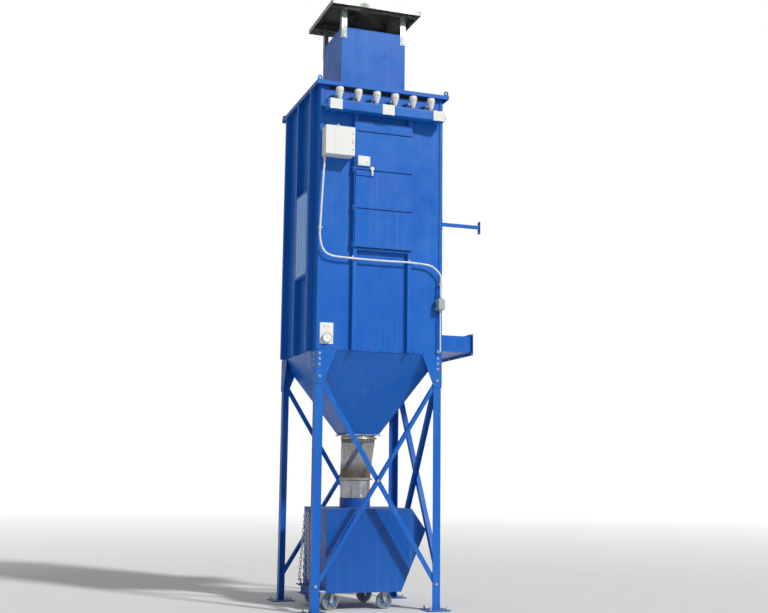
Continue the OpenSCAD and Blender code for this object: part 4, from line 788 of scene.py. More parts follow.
# %% Access covers
cover_low, cover_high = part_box("access_covers")
cover_pitch, cover_gap, cover_deep = 0.493, 0.005, 0.015
cover_back = cover_high.y
cover_face = cover_back - cover_deep
bulb_r, bulb_out, lip_out, lip_t = 0.0042, 0.0012, 0.014, 0.003
seals_and_shade_strip, lips = bmesh.new(), bmesh.new()
for i in range(4):
    seam = cover_low.z - cover_gap / 2 + i * cover_pitch
    bulb_y = cover_face - bulb_out + bulb_r
    rod(seals_and_shade_strip, (cover_low.x + 0.002, bulb_y, seam), (cover_high.x - 0.002, bulb_y, seam), bulb_r, 12)
    block(lips, (cover_low.x + 0.004, cover_face - lip_out, seam + bulb_r),
          (cover_high.x - 0.004, cover_face + 0.001, seam + bulb_r + lip_t), 0.0008)
# The strip under the roof's rim is painted shade, made of black rubber.
block(seals_and_shade_strip, (-0.712, -face_y - 0.004, 6.402), (0.700, -face_y, 6.440), 0.0018)
piece("cover_seals_and_painted_shade_strip", seals_and_shade_strip, seal_black, "blue_paint")
piece("cover_drip_lips", lips, blue_enamel, "blue_paint")

# %% [markdown]
# The hinge is a rod through a row of knuckles. Close up, each knuckle is three short barrels
# with a hair of gap between them, on two leaves that are screwed down.

# %% Hinge barrels and leaf screws
hinge_low, hinge_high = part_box("door_hinge")
rod_x, rod_y, barrel_pitch, barrel_l = hinge_low.x + 0.023, cover_back - 0.013, 0.0208, 0.0196
barrels, leaf_screws = bmesh.new(), []
for foot in (hinge_low.z, hinge_low.z + 0.461, hinge_low.z + 0.954, hinge_high.z - 0.064):
    for i in range(3):
        low = foot + 0.0015 + i * barrel_pitch
        turned(barrels, [(0.012, low), (0.0142, low + 0.001), (0.0142, low + barrel_l - 0.001),
                         (0.012, low + barrel_l)], Matrix.Translation((rod_x, rod_y, 0)), 24)
    for dz in (0.012, 0.052):
        leaf_screws.append(at((rod_x - 0.018, cover_back - 0.0052, foot + dz), FRONT, 30))
for tip, up in ((hinge_low.z, -1), (hinge_high.z, 1)):
    turned(barrels, [(0, 0), (0.0085, 0), (0.0085, 0.003), (0.005, 0.005), (0, 0.0052)],
           at((rod_x, rod_y, tip - 0.0006 * up), (0, 0, up)), 20)
piece("hinge_barrels", barrels, blue_enamel, "blue_paint")
stamped("hinge_screws", pan_screw, leaf_screws, zinc_plate, "galvanised")

# %% [markdown]
# The latch is a white case over its lock, with the lever below. The case has a raised lid, a
# keyhole rosette and four screws. The lever's knob is turned and has a small centre cap.

# %% Latch
case_w, case_h, case_d, lid_in, lid_out = 0.160, 0.125, 0.026, 0.008, 0.003
latch_low, latch_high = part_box("door_latch")
case_low = Vector((latch_low.x, cover_face - case_d, latch_high.z - case_h))
case_high = Vector((latch_low.x + case_w, cover_face, latch_high.z))
lid_face = case_low.y - lid_out
knob_x, knob_z, knob_r = latch_high.x - 0.027, 5.404, 0.027
knob_back = cover_face - 0.012
lever_half, lever_t = 0.011, 0.019
bm = bmesh.new()
block(bm, case_low, case_high, 0.004, 3)
block(bm, case_low + Vector((lid_in, -lid_out, lid_in)),
      case_high - Vector((lid_in, case_d - 0.001, lid_in)), 0.0022)
turned(bm, [(0, 0), (knob_r - 0.003, 0), (knob_r, 0.003), (knob_r, 0.013), (knob_r - 0.004, 0.0185),
            (0.011, 0.020), (0.010, 0.0185), (0, 0.0185)], at((knob_x, knob_back, knob_z), FRONT), 40)
block(bm, (knob_x - lever_half, knob_back - lever_t, latch_low.z),
      (knob_x + lever_half, knob_back, knob_z - 0.008), 0.004, 3)
piece("latch_case", bm, white_enamel, "white_paint", stands_for=["door_latch"])

bm = bmesh.new()
stamp(bm, pan_screw, on_front(case_low, case_high, 0.018, lid_face))
turned(bm, [(0, 0), (0.014, 0), (0.014, 0.002), (0.011, 0.0035), (0.0075, 0.0035), (0.0072, 0.001),
            (0, 0.001)], at((case_high.x - 0.045, lid_face, case_low.z + 0.055), FRONT), 32)
stamp(bm, m8_bolt, [at((knob_x, knob_back - lever_t, latch_low.z + 0.022), FRONT, 12)])
piece("latch_screws", bm, zinc_plate, "galvanised")

# %% [markdown]
# The control box is sheet steel with a plain door whose rim laps over the body. Quarter-turn
# locks hold the door at the right, and four feet stand the box off the wall. It gets a rubber
# seal under the door, a rain lip along its top and a small grey breather that keeps it dry.

# %% Control box
box_low, box_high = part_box("control_box")
door_low, door_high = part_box("control_box_door")
door_face = door_low.y + 0.008
bm = bmesh.new()
for z in (box_low.z + 0.035, box_high.z - 0.035):
    for x in (box_low.x + 0.03, box_high.x - 0.03):
        block(bm, (x - 0.018, box_high.y - 0.003, z - 0.014),
              (x + 0.018, box_high.y + 0.006, z + 0.014), 0.002)
block(bm, (box_low.x - 0.004, box_low.y + 0.001, box_high.z - 0.002),
      (box_high.x + 0.004, box_low.y + 0.03, box_high.z + 0.004), 0.0015)
piece("control_box_trim", bm, white_enamel, "white_paint")

breather = (box_low + box_high) / 2
bm = bmesh.new()
turned(bm, [(0, 0.003), (0.019, 0.003), (0.019, 0.014), (0.014, 0.015), (0.014, 0.034),
            (0.020, 0.036), (0.020, 0.052), (0.015, 0.060), (0, 0.061)],
       Matrix.Translation((breather.x, breather.y, box_high.z)), 28)
piece("control_box_breather", bm, box_grey, "conduit_grey")

bm = bmesh.new()
block(bm, (box_low.x + 0.002, box_low.y - 0.0006, box_low.z + 0.002),
      (box_high.x - 0.002, box_low.y + 0.0012, box_high.z - 0.002))
piece("control_box_seal", bm, seal_black, "blue_paint")

locks = bmesh.new()
lock_x = door_high.x - 0.024
for z in (door_low.z + 0.075, door_high.z - 0.075):
    turned(locks, [(0, 0), (0.013, 0), (0.013, 0.0035), (0.0115, 0.005), (0.0085, 0.005),
                   (0.0085, 0.002), (0, 0.002)], at((lock_x, door_face, z), FRONT), 28)
    block(locks, (lock_x - 0.0015, door_face - 0.0045, z - 0.007),
          (lock_x + 0.0015, door_face - 0.001, z + 0.007), 0.0006)
piece("control_box_locks", locks, zinc_plate, "galvanised")

# %% [markdown]
# The wires run from the control box to the small box on the right in a flexible conduit with
# a smooth grey jacket. It isn't free: clips hold it to the wall and to the door's ribs. Its
# route is the one that the solids give, drawn as a curve that passes through every point, and
# the curve is turned into a mesh tube. At both ends it goes into a fitting with a hex nut.

# %% Upper conduit
conduit_low, conduit_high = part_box("upper_conduit")
conduit_r = (conduit_high.y - conduit_low.y) / 2
conduit_y = (conduit_high.y + conduit_low.y) / 2
drop_x, drop_top, run_z, end_x, end_z = -0.776, 5.5197, 4.278, 0.778, 3.8203


def on_drop(share):
    """The height at a share of the drop from the control box to the run under the covers."""
    return drop_top + (run_z - drop_top) * share


route = [(drop_x, on_drop(0)), (drop_x, on_drop(0.03)), (drop_x, on_drop(0.06)),
         (drop_x - 0.018, on_drop(0.34)), (drop_x - 0.034, on_drop(0.63)),
         (drop_x - 0.040, on_drop(0.81)), (drop_x - 0.002, on_drop(0.94)),
         (drop_x + 0.09, run_z), (drop_x + 0.28, run_z - 0.02),
         (0, run_z - 0.026), (0.320, run_z - 0.022), (end_x - 0.222, run_z - 0.032),
         (end_x - 0.102, run_z - 0.062), (end_x - 0.004, run_z - 0.160), (end_x, run_z - 0.280),
         (end_x, end_z + 0.06), (end_x, end_z)]
line = through([Vector((x, conduit_y, z)) for x, z in route], 8)
bm = bmesh.new()
bm.from_mesh(sweep("conduit_tube", line, conduit_r, 6))
piece("conduit_jacket", bm, grey_jacket, "conduit_grey", stands_for=["upper_conduit"], smooth=60)


def draw_fitting(bm):
    """Draws a straight fitting that stands on a box at z = 0 and takes the conduit."""
    bore = conduit_r + 0.0004
    rod(bm, (0, 0, 0), (0, 0, 0.004), 0.0195, 6)
    turned(bm, [(bore, 0.0045), (0.0165, 0.0045), (0.0165, 0.012), (0.0185, 0.013),
                (0.0185, 0.026), (0.0172, 0.0275), (0.0172, 0.029), (0.0185, 0.030),
                (0.0185, 0.036), (0.0150, 0.043), (bore, 0.044)], steps=30)
    for turn in range(0, 360, 30):
        rod(bm, round_z(turn, 0.0185, 0.014), round_z(turn, 0.0185, 0.025), 0.0011, 6)


stamped("conduit_fittings", pattern("conduit_fitting", draw_fitting),
        [at((drop_x, conduit_y, drop_top + 0.0003), DOWN), at((end_x, conduit_y, end_z - 0.0003), UP)],
        zinc_plate, "galvanised")

# %% [markdown]
# The jacket is stiff enough to stand by itself between clips. A clip is a strip bent over the
# conduit, with a screw through its foot. Where the conduit hangs in front of the plain wall,
# the clip stands on a square bar that reaches back to it.

# %% Conduit clips
clip_half, foot_l = 0.008, 0.020
clip_inner, clip_outer = conduit_r + 0.0004, conduit_r + 0.0024
clip_back = -conduit_r + 0.0002


def draw_clip_arc(bm):
    """Draws the half ring of a clip, over a conduit that runs along Z."""
    profile = [bm.verts.new((radius, 0, z)) for radius, z in (
        (clip_outer, -clip_half), (clip_outer, clip_half), (clip_inner, clip_half),
        (clip_inner, -clip_half))]
    edges = [bm.edges.new(pair) for pair in zip(profile, profile[1:] + profile[:1])]
    bmesh.ops.spin(bm, geom=profile + edges, cent=(0, 0, 0), axis=UP, angle=math.pi, steps=14)
    bmesh.ops.holes_fill(bm, edges=[edge for edge in bm.edges if edge.is_boundary], sides=4)
    bmesh.ops.recalc_face_normals(bm, faces=bm.faces)


clip_arc = pattern("clip_arc", draw_clip_arc)


def clip(bm, spot, along, wall_y):
    """Puts a clip on the conduit, with its foot at one side. Gives its screw's place."""
    along = along.normalized()
    side = along.cross(Vector(BACK)).normalized()
    place = Matrix.Translation(spot) @ Matrix((side, Vector(FRONT), along)).transposed().to_4x4()
    reach = wall_y - spot.y - conduit_r

    def draw_foot(bm):
        """Draws the clip's hem and foot, and a bar to the wall where the conduit hangs free."""
        foot_end = clip_outer + foot_l
        block(bm, (-clip_outer - 0.002, clip_back - 0.0004, -clip_half),
              (-clip_inner, 0.002, clip_half), 0.0004)
        block(bm, (clip_inner, clip_back, -clip_half), (foot_end, clip_back + 0.002, clip_half), 0.0005)
        block(bm, (clip_inner, clip_back, -clip_half), (clip_outer, 0.001, clip_half), 0.0004)
        if reach > 0.004:
            block(bm, (-0.006, clip_back - reach, -clip_half),
                  (foot_end, clip_back - 0.0003, clip_half), 0.001)

    stamp(bm, clip_arc, [place])
    stamp(bm, pattern("clip_foot", draw_foot), [place])
    screw = Matrix.Translation((clip_outer + 0.011, clip_back + 0.002, 0))
    return place @ screw @ Matrix.Rotation(-math.pi / 2, 4, "X")


def nearest(side, axis, value):
    """The number of the line's point nearest to a value, on the left (-1) or right (1) side."""
    return min((i for i, spot in enumerate(line) if spot.x * side > 0),
               key=lambda i: abs(line[i][axis] - value))


across, up = 0, 2
clips, clip_screws = bmesh.new(), []
for i, wall_y in ((nearest(-1, up, 4.62), -face_y), (nearest(-1, across, -front_rib_x), cover_back),
                  (nearest(1, across, front_rib_x), cover_back), (nearest(1, up, 4.01), -face_y)):
    clip_screws.append(clip(clips, line[i], line[i + 1] - line[i - 1], wall_y))
piece("conduit_clips", clips, grey_jacket, "conduit_grey")
stamped("conduit_clip_screws", pan_screw, clip_screws, zinc_plate, "galvanised")

# %% [markdown]
# The box where the conduit ends is die cast, with a gasket under a lid held by four screws.
# A thinner pipe runs from it down to a fitting in the wall.

# %% Junction box and lower conduit
cast_low, cast_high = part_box("junction_box")
pipe_low, pipe_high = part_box("lower_conduit")
thin_r = (pipe_high.x - pipe_low.x) / 2
thin_x, thin_y, thin_bore = (pipe_low.x + pipe_high.x) / 2, pipe_low.y + thin_r, thin_r + 0.0003
lid_back, screw_in, ear_up = cast_low.y - 0.0085, 0.012, 0.02
screws = on_front(cast_low, cast_high, screw_in, lid_back, 70)
lid = bmesh.new()
block(lid, (cast_low.x - 0.001, lid_back, cast_low.z - 0.001),
      (cast_high.x + 0.001, cast_low.y - 0.0015, cast_high.z + 0.001), 0.003, 3)
for x in (cast_low.x + screw_in, cast_high.x - screw_in):
    for z in (cast_low.z + screw_in, cast_high.z - screw_in):
        rod(lid, (x, cast_low.y + 0.001, z), (x, cast_high.y - 0.002, z), 0.0125, 14)
for z in (cast_low.z + ear_up, cast_high.z - ear_up):
    block(lid, (cast_low.x - 0.014, cast_high.y - 0.006, z - 0.009),
          (cast_low.x + 0.004, cast_high.y, z + 0.009), 0.002)
    screws.append(at((cast_low.x - 0.008, cast_high.y - 0.006, z), FRONT, 15))
piece("junction_box_lid", lid, box_grey, "conduit_grey")

bm = bmesh.new()
stamp(bm, pan_screw, screws)
turned(bm, [(thin_bore, 0), (0.0155, 0), (0.0155, 0.006), (0.0125, 0.007), (0.0125, 0.018),
            (0.0105, 0.022), (thin_bore, 0.022)], at((thin_x, thin_y, cast_low.z - 0.0003), DOWN), 24)
turned(bm, [(thin_bore, 0), (0.021, 0), (0.021, 0.003), (0.0135, 0.0045), (0.0135, 0.016),
            (0.0105, 0.019), (thin_bore, 0.019)],
       at((thin_x, -face_y - 0.0002, pipe_low.z + thin_r), FRONT), 24)
piece("lower_conduit_fittings", bm, zinc_plate, "galvanised")

# %% [markdown]
# The gauge shows the pressure that the filters hold back. It has a white dial with a ring of
# ticks, plain numbers and a red pointer. The numbers are the only lettering, and they name
# nothing. Text starts as a curve and is made a mesh before its place is applied.

# %% Pressure gauge
gauge_low, gauge_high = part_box("pressure_gauge")
gauge_mid = (gauge_low + gauge_high) / 2
dial_y, dial_r = gauge_low.y + 0.004, 0.0525
mark_y, tick_end, number_r, screw_r = dial_y - 0.0011, 0.046, 0.0305, 0.0563


def on_dial(degrees, radius, y):
    """A point on the dial, at an angle from its right and a distance from its middle."""
    spot = round_z(degrees, radius)
    return Vector((gauge_mid.x + spot.x, y, gauge_mid.z + spot.y))


def facing_dial(y):
    """A place over the dial's middle."""
    return at(on_dial(0, 0, y), FRONT)


bm = bmesh.new()
turned(bm, [(0, 0), (dial_r, 0), (dial_r, 0.0008), (0, 0.0008)], facing_dial(dial_y - 0.0002), 48)
piece("gauge_dial", bm, dial_white, "white_plate")

marks = bmesh.new()
for i in range(31):
    tick_start, tick_w = (0.037, 0.0014) if i % 5 == 0 else (0.041, 0.0008)
    turn = Matrix.Rotation(math.radians(i * 9 - 225), 4, "Y")
    middle = Matrix.Translation(((tick_start + tick_end) / 2, 0, 0))
    bmesh.ops.create_cube(marks, size=1, matrix=Matrix.Translation(on_dial(0, 0, mark_y)) @ turn
                          @ middle @ Matrix.Diagonal((tick_end - tick_start, 0.0003, tick_w, 1)))
for i in range(7):
    text = bpy.data.curves.new("dial_number", "FONT")
    text.body, text.size, text.align_x, text.align_y = str(i), 0.0105, "CENTER", "CENTER"
    text.extrude = 0.00015
    spot = Matrix.Translation(on_dial(225 - i * 45, number_r, mark_y))
    stamp(marks, mesh_of(text), [spot @ Matrix.Rotation(math.pi / 2, 4, "X")])
piece("gauge_marks", marks, seal_black, "conduit_grey")

bm = bmesh.new()
rod(bm, on_dial(298, 0.012, mark_y - 0.0010), on_dial(118, 0.038, mark_y - 0.0010), 0.0011, 8, 0.0004)
turned(bm, [(0, 0), (0.0042, 0), (0.0042, 0.0012), (0.003, 0.002), (0, 0.002)],
       facing_dial(mark_y - 0.0003), 20)
piece("gauge_pointer", bm, pointer_red, "conduit_grey")

bm = bmesh.new()
turned(bm, [(0.0528, 0), (0.0596, 0), (0.0604, 0.001), (0.0604, 0.0075), (0.0590, 0.0092),
            (0.0560, 0.0096), (0.0528, 0.0085), (0.0528, 0)], facing_dial(gauge_low.y + 0.0092), 64)
stamp(bm, pan_screw, [at(on_dial(turn, screw_r, gauge_low.y), FRONT, turn)
                      @ Matrix.Diagonal((0.55, 0.55, 0.5, 1)) for turn in (30, 150, 270)])
piece("gauge_bezel", bm, box_grey, "conduit_grey")

# %% Gauge plate screws and hose stubs
plate_low, plate_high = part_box("gauge_plate")
bm = bmesh.new()
stamp(bm, pan_screw, on_front(plate_low, plate_high, 0.012, plate_low.y, 35))
for x in (-0.024, 0.024):
    turned(bm, [(0, 0), (0.0075, 0), (0.0075, 0.004), (0.0055, 0.005), (0.0055, 0.013), (0.004, 0.014),
                (0, 0.014)], at((gauge_mid.x + x, plate_low.y, plate_high.z - 0.042), FRONT), 16)
piece("gauge_plate_screws", bm, zinc_plate, "galvanised")

# %% [markdown]
# The relief vent on the left wall bursts open if dust inside ever catches fire. Its panel is
# a thin sheet with three shallow pressed ribs, held at its rim by four flat bars and a row of
# bolts. Bars meet at mitres on the real part, and here the upright ones run between the others.

# %% Relief vent
vent_low, vent_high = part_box("vent_panel")
vent_x, bar_w, bar_t = vent_low.x, 0.022, 0.0028
bolt_x, bar_mid, first_bolt = vent_x - bar_t, bar_w / 2, 0.055
bars, ribs, vent_bolts = bmesh.new(), bmesh.new(), []
for z in (vent_low.z, vent_high.z - bar_w):
    block(bars, (bolt_x, vent_low.y, z), (vent_x, vent_high.y, z + bar_w), 0.0008)
    for i in range(5):
        y = vent_low.y + bar_mid + i * (vent_high.y - vent_low.y - bar_w) / 4
        vent_bolts.append(at((bolt_x, y, z + bar_mid), LEFT, 50 * i))
for y in (vent_low.y, vent_high.y - bar_w):
    block(bars, (bolt_x, y, vent_low.z + bar_w), (vent_x, y + bar_w, vent_high.z - bar_w), 0.0008)
    for i in range(10):
        z = vent_low.z + first_bolt + i * (vent_high.z - vent_low.z - 2 * first_bolt) / 9
        vent_bolts.append(at((bolt_x, y + bar_mid, z), LEFT, 35 * i))
for share in (0.25, 0.5, 0.75):
    y = vent_low.y + (vent_high.y - vent_low.y) * share
    block(ribs, (vent_x - 0.0035, y - 0.016, vent_low.z + 0.07),
          (vent_x + 0.001, y + 0.016, vent_high.z - 0.07), 0.0032, 3)
piece("vent_bars", bars, blue_enamel, "blue_paint")
piece("vent_ribs", ribs, foil, "vent_foil")
stamped("vent_bolts", m8_bolt, vent_bolts, blue_enamel, "blue_paint")

# %% [markdown]
# The stack is bolted down through its foot, on a bead of black sealant, and its top edge is
# rolled round a wire. The rain cap's four edges are rolled as well, and its sheets meet in a
# standing seam along each hip. Its corner posts are bolted to the stack and to the cap's bars.

# %% Stack
foot_low, foot_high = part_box("exhaust_stack")
roof_top, foot_w = foot_low.z, 0.040
wall_x, wall_y = foot_high.x - foot_w, foot_high.y - foot_w
sealant = bmesh.new()
edging(sealant, foot_low, foot_high, roof_top + 0.002, 0.0045, 10)
piece("stack_sealant", sealant, seal_black, "blue_paint")
bm = bmesh.new()
edging(bm, Vector((-wall_x, -wall_y, 0)), Vector((wall_x, wall_y, 0)), foot_high.z, 0.0045, 12, 0.001)
piece("stack_wired_edge", bm, blue_enamel, "blue_paint")

# %% Rain cap
cap_low, cap_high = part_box("rain_cap")
cap_edge, hip_end, hem_r = cap_low.z + 0.060, 0.12, 0.0045
bm = bmesh.new()
edging(bm, cap_low, cap_high, cap_low.z + hem_r, hem_r, 12, hem_r, 0.002)
for x, y in CORNERS:
    corner = Vector((x * cap_high.x, y * cap_high.y, cap_edge - 0.001))
    rod(bm, corner, corner.lerp(Vector((0, 0, cap_high.z - 0.003)), 1 - hip_end), 0.004, 10)
piece("cap_hems_and_seams", bm, cap_sheet, "galvanised")

# %% Stack and cap bolts
foot_t, row_in, post_t, bar_out, post_rows, post_in = 0.004, 0.020, 0.005, 0.010, (7.300, 7.375), 0.032
row_x, row_y = foot_high.x - row_in, foot_high.y - row_in
foot_bolts = []
for side in BOTH:
    for i in range(7):
        foot_bolts.append(at(((i / 3 - 1) * row_x, side * row_y, roof_top + foot_t), UP, 25 * i))
    for i in range(1, 6):
        foot_bolts.append(at((side * row_x, (i / 3 - 1) * row_y, roof_top + foot_t), UP, 35 * i))
post_bolts = []
for x, y in CORNERS:
    for z in post_rows:
        post_bolts.append(at((x * (wall_x - post_in), y * (wall_y + post_t), z), (0, y, 0), 400 * z))
        post_bolts.append(at((x * (wall_x + post_t), y * (wall_y - post_in), z), (x, 0, 0), 300 * z))
    z = cap_low.z + 0.018
    post_bolts.append(at((x * (wall_x - post_in), y * (wall_y + bar_out), z), (0, y, 0), 400 * z))
stamped("stack_foot_bolts", m12_bolt, foot_bolts, blue_enamel, "blue_paint")
stamped("cap_post_bolts", m12_bolt, post_bolts, zinc_plate, "galvanised")

# %% [markdown]
# Four lugs lift the housing, each welded to the roof by a bead on both of its sides.

# %% Lug welds
lug_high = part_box("lifting_lugs")[1]
lug_w, lug_t = 0.060, 0.010
lug_welds = []
for x, y in CORNERS:
    for face in (lug_high.y, lug_high.y - lug_t):
        start = Vector((x * lug_high.x, y * face, roof_top))
        lug_welds += bead(start, start - Vector((x * lug_w, 0, 0)))
stamped("lug_welds", ripple, lug_welds, blue_enamel, "blue_paint")

# %% [markdown]
# The clear sleeve is rolled from sheet: a cuff at either end and a cone between them that
# leans a little to the left. Soft plastic that hangs between two clamps is never quite round,
# so it ripples inward by a few millimetres half way down. Its wall is spun as a plain round
# shape, and each of its vertices is then moved to the lean and the ripple of its height.

# %% Clear sleeve
sleeve_low, sleeve_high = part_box("clear_sleeve")
top_r, low_r, low_x, sleeve_wall = 0.2163, 0.1943, -0.030, 0.004
cone_low, cone_high = sleeve_low.z + 0.060, sleeve_high.z - 0.078
levels = [sleeve_low.z, sleeve_low.z + 0.05]
levels += [cone_low + (cone_high - cone_low) * i / 14 for i in range(15)]
levels += [sleeve_high.z - 0.06, sleeve_high.z]


def up_cone(z):
    """How far up the cone a height is, from 0 at its foot to 1 at its top."""
    return min(max((z - cone_low) / (cone_high - cone_low), 0), 1)


def plain_radius(z):
    """The sleeve's outer radius at a height, before it ripples."""
    return low_r + (top_r - low_r) * up_cone(z)


bm = bmesh.new()
wall = [(plain_radius(z), z) for z in levels]
wall += [(radius - sleeve_wall, z) for radius, z in reversed(wall)]
turned(bm, wall + wall[:1], steps=72)
for vert in bm.verts:
    share = up_cone(vert.co.z)
    turn = math.atan2(vert.co.y, vert.co.x)
    ripples = 0.0012 * math.sin(5 * turn + 6 * share) + 0.0009 * math.sin(9 * turn - 11 * share)
    slack = math.sin(math.pi * share) if 0 < share < 1 else 0
    radius = vert.co.xy.length - slack * (0.0024 + ripples)
    vert.co.xy = low_x * (1 - share) + radius * math.cos(turn), radius * math.sin(turn)
piece("rippled_sleeve", bm, clear_pvc, "clear_plastic", stands_for=["clear_sleeve"], smooth=60)

# %% [markdown]
# Each clamp is a steel band with a raised bead along both edges, drawn tight by a long bolt
# through two trunnions. The band below the sleeve is rolled sheet with a lock seam, and the
# outlet's plate is bolted to the hopper from below.

# %% Clamps, band and outlet plate
clamp_out, clamp_bolt_out = 0.0043, 0.009
top_clamp, low_clamp = Vector((0, 0, 2.088)), Vector((low_x, 0, 1.572))
bm = bmesh.new()
for middle, radius in ((top_clamp, top_r + clamp_out), (low_clamp, low_r + clamp_out)):
    for up in (-0.011, 0.011):
        turned(bm, [(radius - 0.001, up - 0.0028), (radius + 0.0018, up - 0.0016),
                    (radius + 0.0024, up), (radius + 0.0018, up + 0.0016),
                    (radius - 0.001, up + 0.0028), (radius - 0.001, up - 0.0028)],
               Matrix.Translation(middle), 72)
    bolt_x = middle.x + radius + clamp_bolt_out
    for y in (-0.030, 0.030):
        rod(bm, (bolt_x, y, middle.z - 0.013), (bolt_x, y, middle.z + 0.013), 0.0095, 20)
    stamp(bm, m12_bolt, [at((bolt_x, -0.045, middle.z), FRONT, 20),
                         at((bolt_x, 0.045, middle.z), BACK, 45)])
piece("clamp_beads_and_bolts", bm, zinc_plate, "galvanised")

band_low, band_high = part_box("sleeve_band")
band_r = (band_high.x - band_low.x) / 2
bm = bmesh.new()
for z in (band_low.z + 0.11, band_low.z + 0.118):
    turned(bm, [(band_r - 0.001, z - 0.0025), (band_r + 0.0012, z - 0.001),
                (band_r + 0.0012, z + 0.001), (band_r - 0.001, z + 0.0025),
                (band_r - 0.001, z - 0.0025)], Matrix.Translation((low_x, 0, 0)), 72)
for turn in (-62, -66):
    spot = Vector((low_x, 0, 0)) + round_z(turn, band_r)
    rod(bm, (spot.x, spot.y, band_low.z + 0.095), (spot.x, spot.y, band_high.z - 0.06), 0.0016, 8)
piece("band_seam", bm, bright_sheet, "galvanised")

outlet_row, outlet_face = outlet_high.x - 0.020, 2.122
outlet_bolts = [at((across * outlet_row, side * outlet_row, outlet_face), DOWN, 20 * (across + 1))
                for across in (-1, 0, 1) for side in BOTH]
outlet_bolts += [at((side * outlet_row, 0, outlet_face), DOWN, 50) for side in BOTH]
stamped("outlet_bolts", m12_bolt, outlet_bolts, zinc_plate, "galvanised")

# %% [markdown]
# The bin's lid has a rolled rim, and so has the collar on it that the band drops into. The
# bin's own sheets are welded along every corner. Their beads were painted over with the rest
# and catch the light as thin ragged lines.

# %% Bin hems and seams
lid_low, lid_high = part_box("bin_lid")
collar_r, lid_top = 0.1953, 1.214
bm = bmesh.new()
edging(bm, lid_low, lid_high, lid_low.z + 0.002, 0.0038, 12, 0.003)
turned(bm, [(collar_r - 0.003, -0.006), (collar_r + 0.0015, -0.005), (collar_r + 0.0028, -0.002),
            (collar_r + 0.0015, 0.0008), (collar_r - 0.003, 0.0014), (collar_r - 0.003, -0.006)],
       Matrix.Translation((low_x, 0, lid_high.z)), 72)
piece("bin_hems", bm, worn_enamel, "blue_paint")

bin_low, bin_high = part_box("bin_sides")
seam_lines = [((-0.565, 0.25), (-0.565, 1.18)), ((0.537, 1.18), (0.720, 0.955)),
              ((0.720, 0.955), (0.400, 0.21))]
bin_seams = []
for y in (bin_low.y + 0.0055, bin_high.y - 0.0055):
    for (x0, z0), (x1, z1) in seam_lines:
        outward = Vector((z0 - z1, 0, x1 - x0)).normalized() * 0.0004
        bin_seams += bead(Vector((x0, y, z0)) + outward, Vector((x1, y, z1)) + outward)
for turn in range(360):
    spot = round_z(turn, collar_r)
    bin_seams.append(at(Vector((low_x, 0, lid_top)) + spot, spot.cross(Vector(UP)), 40 * turn))
stamped("bin_seams", ripple, bin_seams, worn_enamel, "blue_paint")

# %% [markdown]
# Three strands of chain hold the bin's left side down to its deck. A link is a round wire
# bent into two half circles with straight sides between them: each half circle is a small
# ring of vertices, spun half way round, and bridges between the two make the straight sides.
# Each strand hangs straight from its hook to its foot, and every second link is turned a
# quarter round.

# %% Chain
wire_r, bend_r, bend_z = 0.0049, 0.013, 0.015
link_count, link_step, end_step, strand_l = 19, 0.0457, 0.0174, 0.8574


def draw_link(bm):
    """Draws a chain link that lies in the plane of Y and Z."""
    for end in BOTH:
        made = bmesh.ops.create_circle(bm, segments=10, radius=wire_r,
                                       matrix=Matrix.Translation((0, end * bend_r, end * bend_z)))
        edges = list({edge for vert in made["verts"] for edge in vert.link_edges})
        bmesh.ops.spin(bm, geom=made["verts"] + edges, cent=(0, 0, end * bend_z), axis=RIGHT,
                       angle=math.pi, steps=8)
    for side in BOTH:
        rims = [edge for edge in bm.edges if edge.is_boundary and edge.verts[0].co.y * side > 0]
        bmesh.ops.bridge_loops(bm, edges=rims)
    bmesh.ops.recalc_face_normals(bm, faces=bm.faces[:])


links = []
for strand in range(3):
    hook = Vector((-0.595, 0.160 + 0.075 * strand, 1.160))
    lean_x, lean_y = -0.065, 0.135 * strand - 0.280
    fall = math.sqrt(strand_l ** 2 - lean_x ** 2 - lean_y ** 2)
    hung = (Matrix.Translation(hook) @ Matrix.Rotation(math.atan2(-lean_x, fall), 4, "Y")
            @ Matrix.Rotation(math.asin(lean_y / strand_l), 4, "X"))
    links += [hung @ Matrix.Translation((0, 0, -end_step - n * link_step))
              @ Matrix.Rotation(n % 2 * math.pi / 2, 4, "Z") for n in range(link_count)]
stamped("smooth_chain", pattern("chain_link", draw_link), links, chain_zinc, "galvanised",
        stands_for=["bin_chain"], smooth=80)

# %% [markdown]
# A caster wheel is cast in one hub with six ribs on either side, and a grey polyurethane tread is
# moulded round it. Both ride on the wheel's own body, so they turn with it. Each fork ends in an axle
# nut and hangs from a plate held by four bolts.

# %% Wheels
tread = [(0.0776, 0.0205), (0.0785, 0.0218), (0.0930, 0.0220), (0.0975, 0.0205), (0.1000, 0.0180),
         (0.1012, 0.0140), (0.1016, 0.0060)]
hub = [(0.00635, 0.0265), (0.0205, 0.0265), (0.0220, 0.0255), (0.0250, 0.0092), (0.0290, 0.0080),
       (0.0700, 0.0080), (0.0740, 0.0095), (0.0762, 0.0195), (0.0776, 0.0205)]
swivel_x, rigid_x, trail, axle_z, front_row, back_row = -0.434, 0.220, 0.038, 0.1016, -0.445, 0.325
wheel_spots = {"front_swivel_wheel": (swivel_x - trail, front_row),
               "back_swivel_wheel": (swivel_x - trail, back_row),
               "front_rigid_wheel": (rigid_x, front_row), "back_rigid_wheel": (rigid_x, back_row)}


def draw_wheel_rib(bm):
    """Draws one rib on either side of a hub's web."""
    for side in BOTH:
        low, high = sorted((0.0075 * side, 0.0165 * side))
        block(bm, (0.0215, -0.0035, low), (0.0750, 0.0035, high), 0.0012)


def both_faces(half):
    """The closed outline of a wheel's part from the half of it on one face."""
    outline = half + [(radius, -height) for radius, height in reversed(half)]
    return outline + outline[:1]


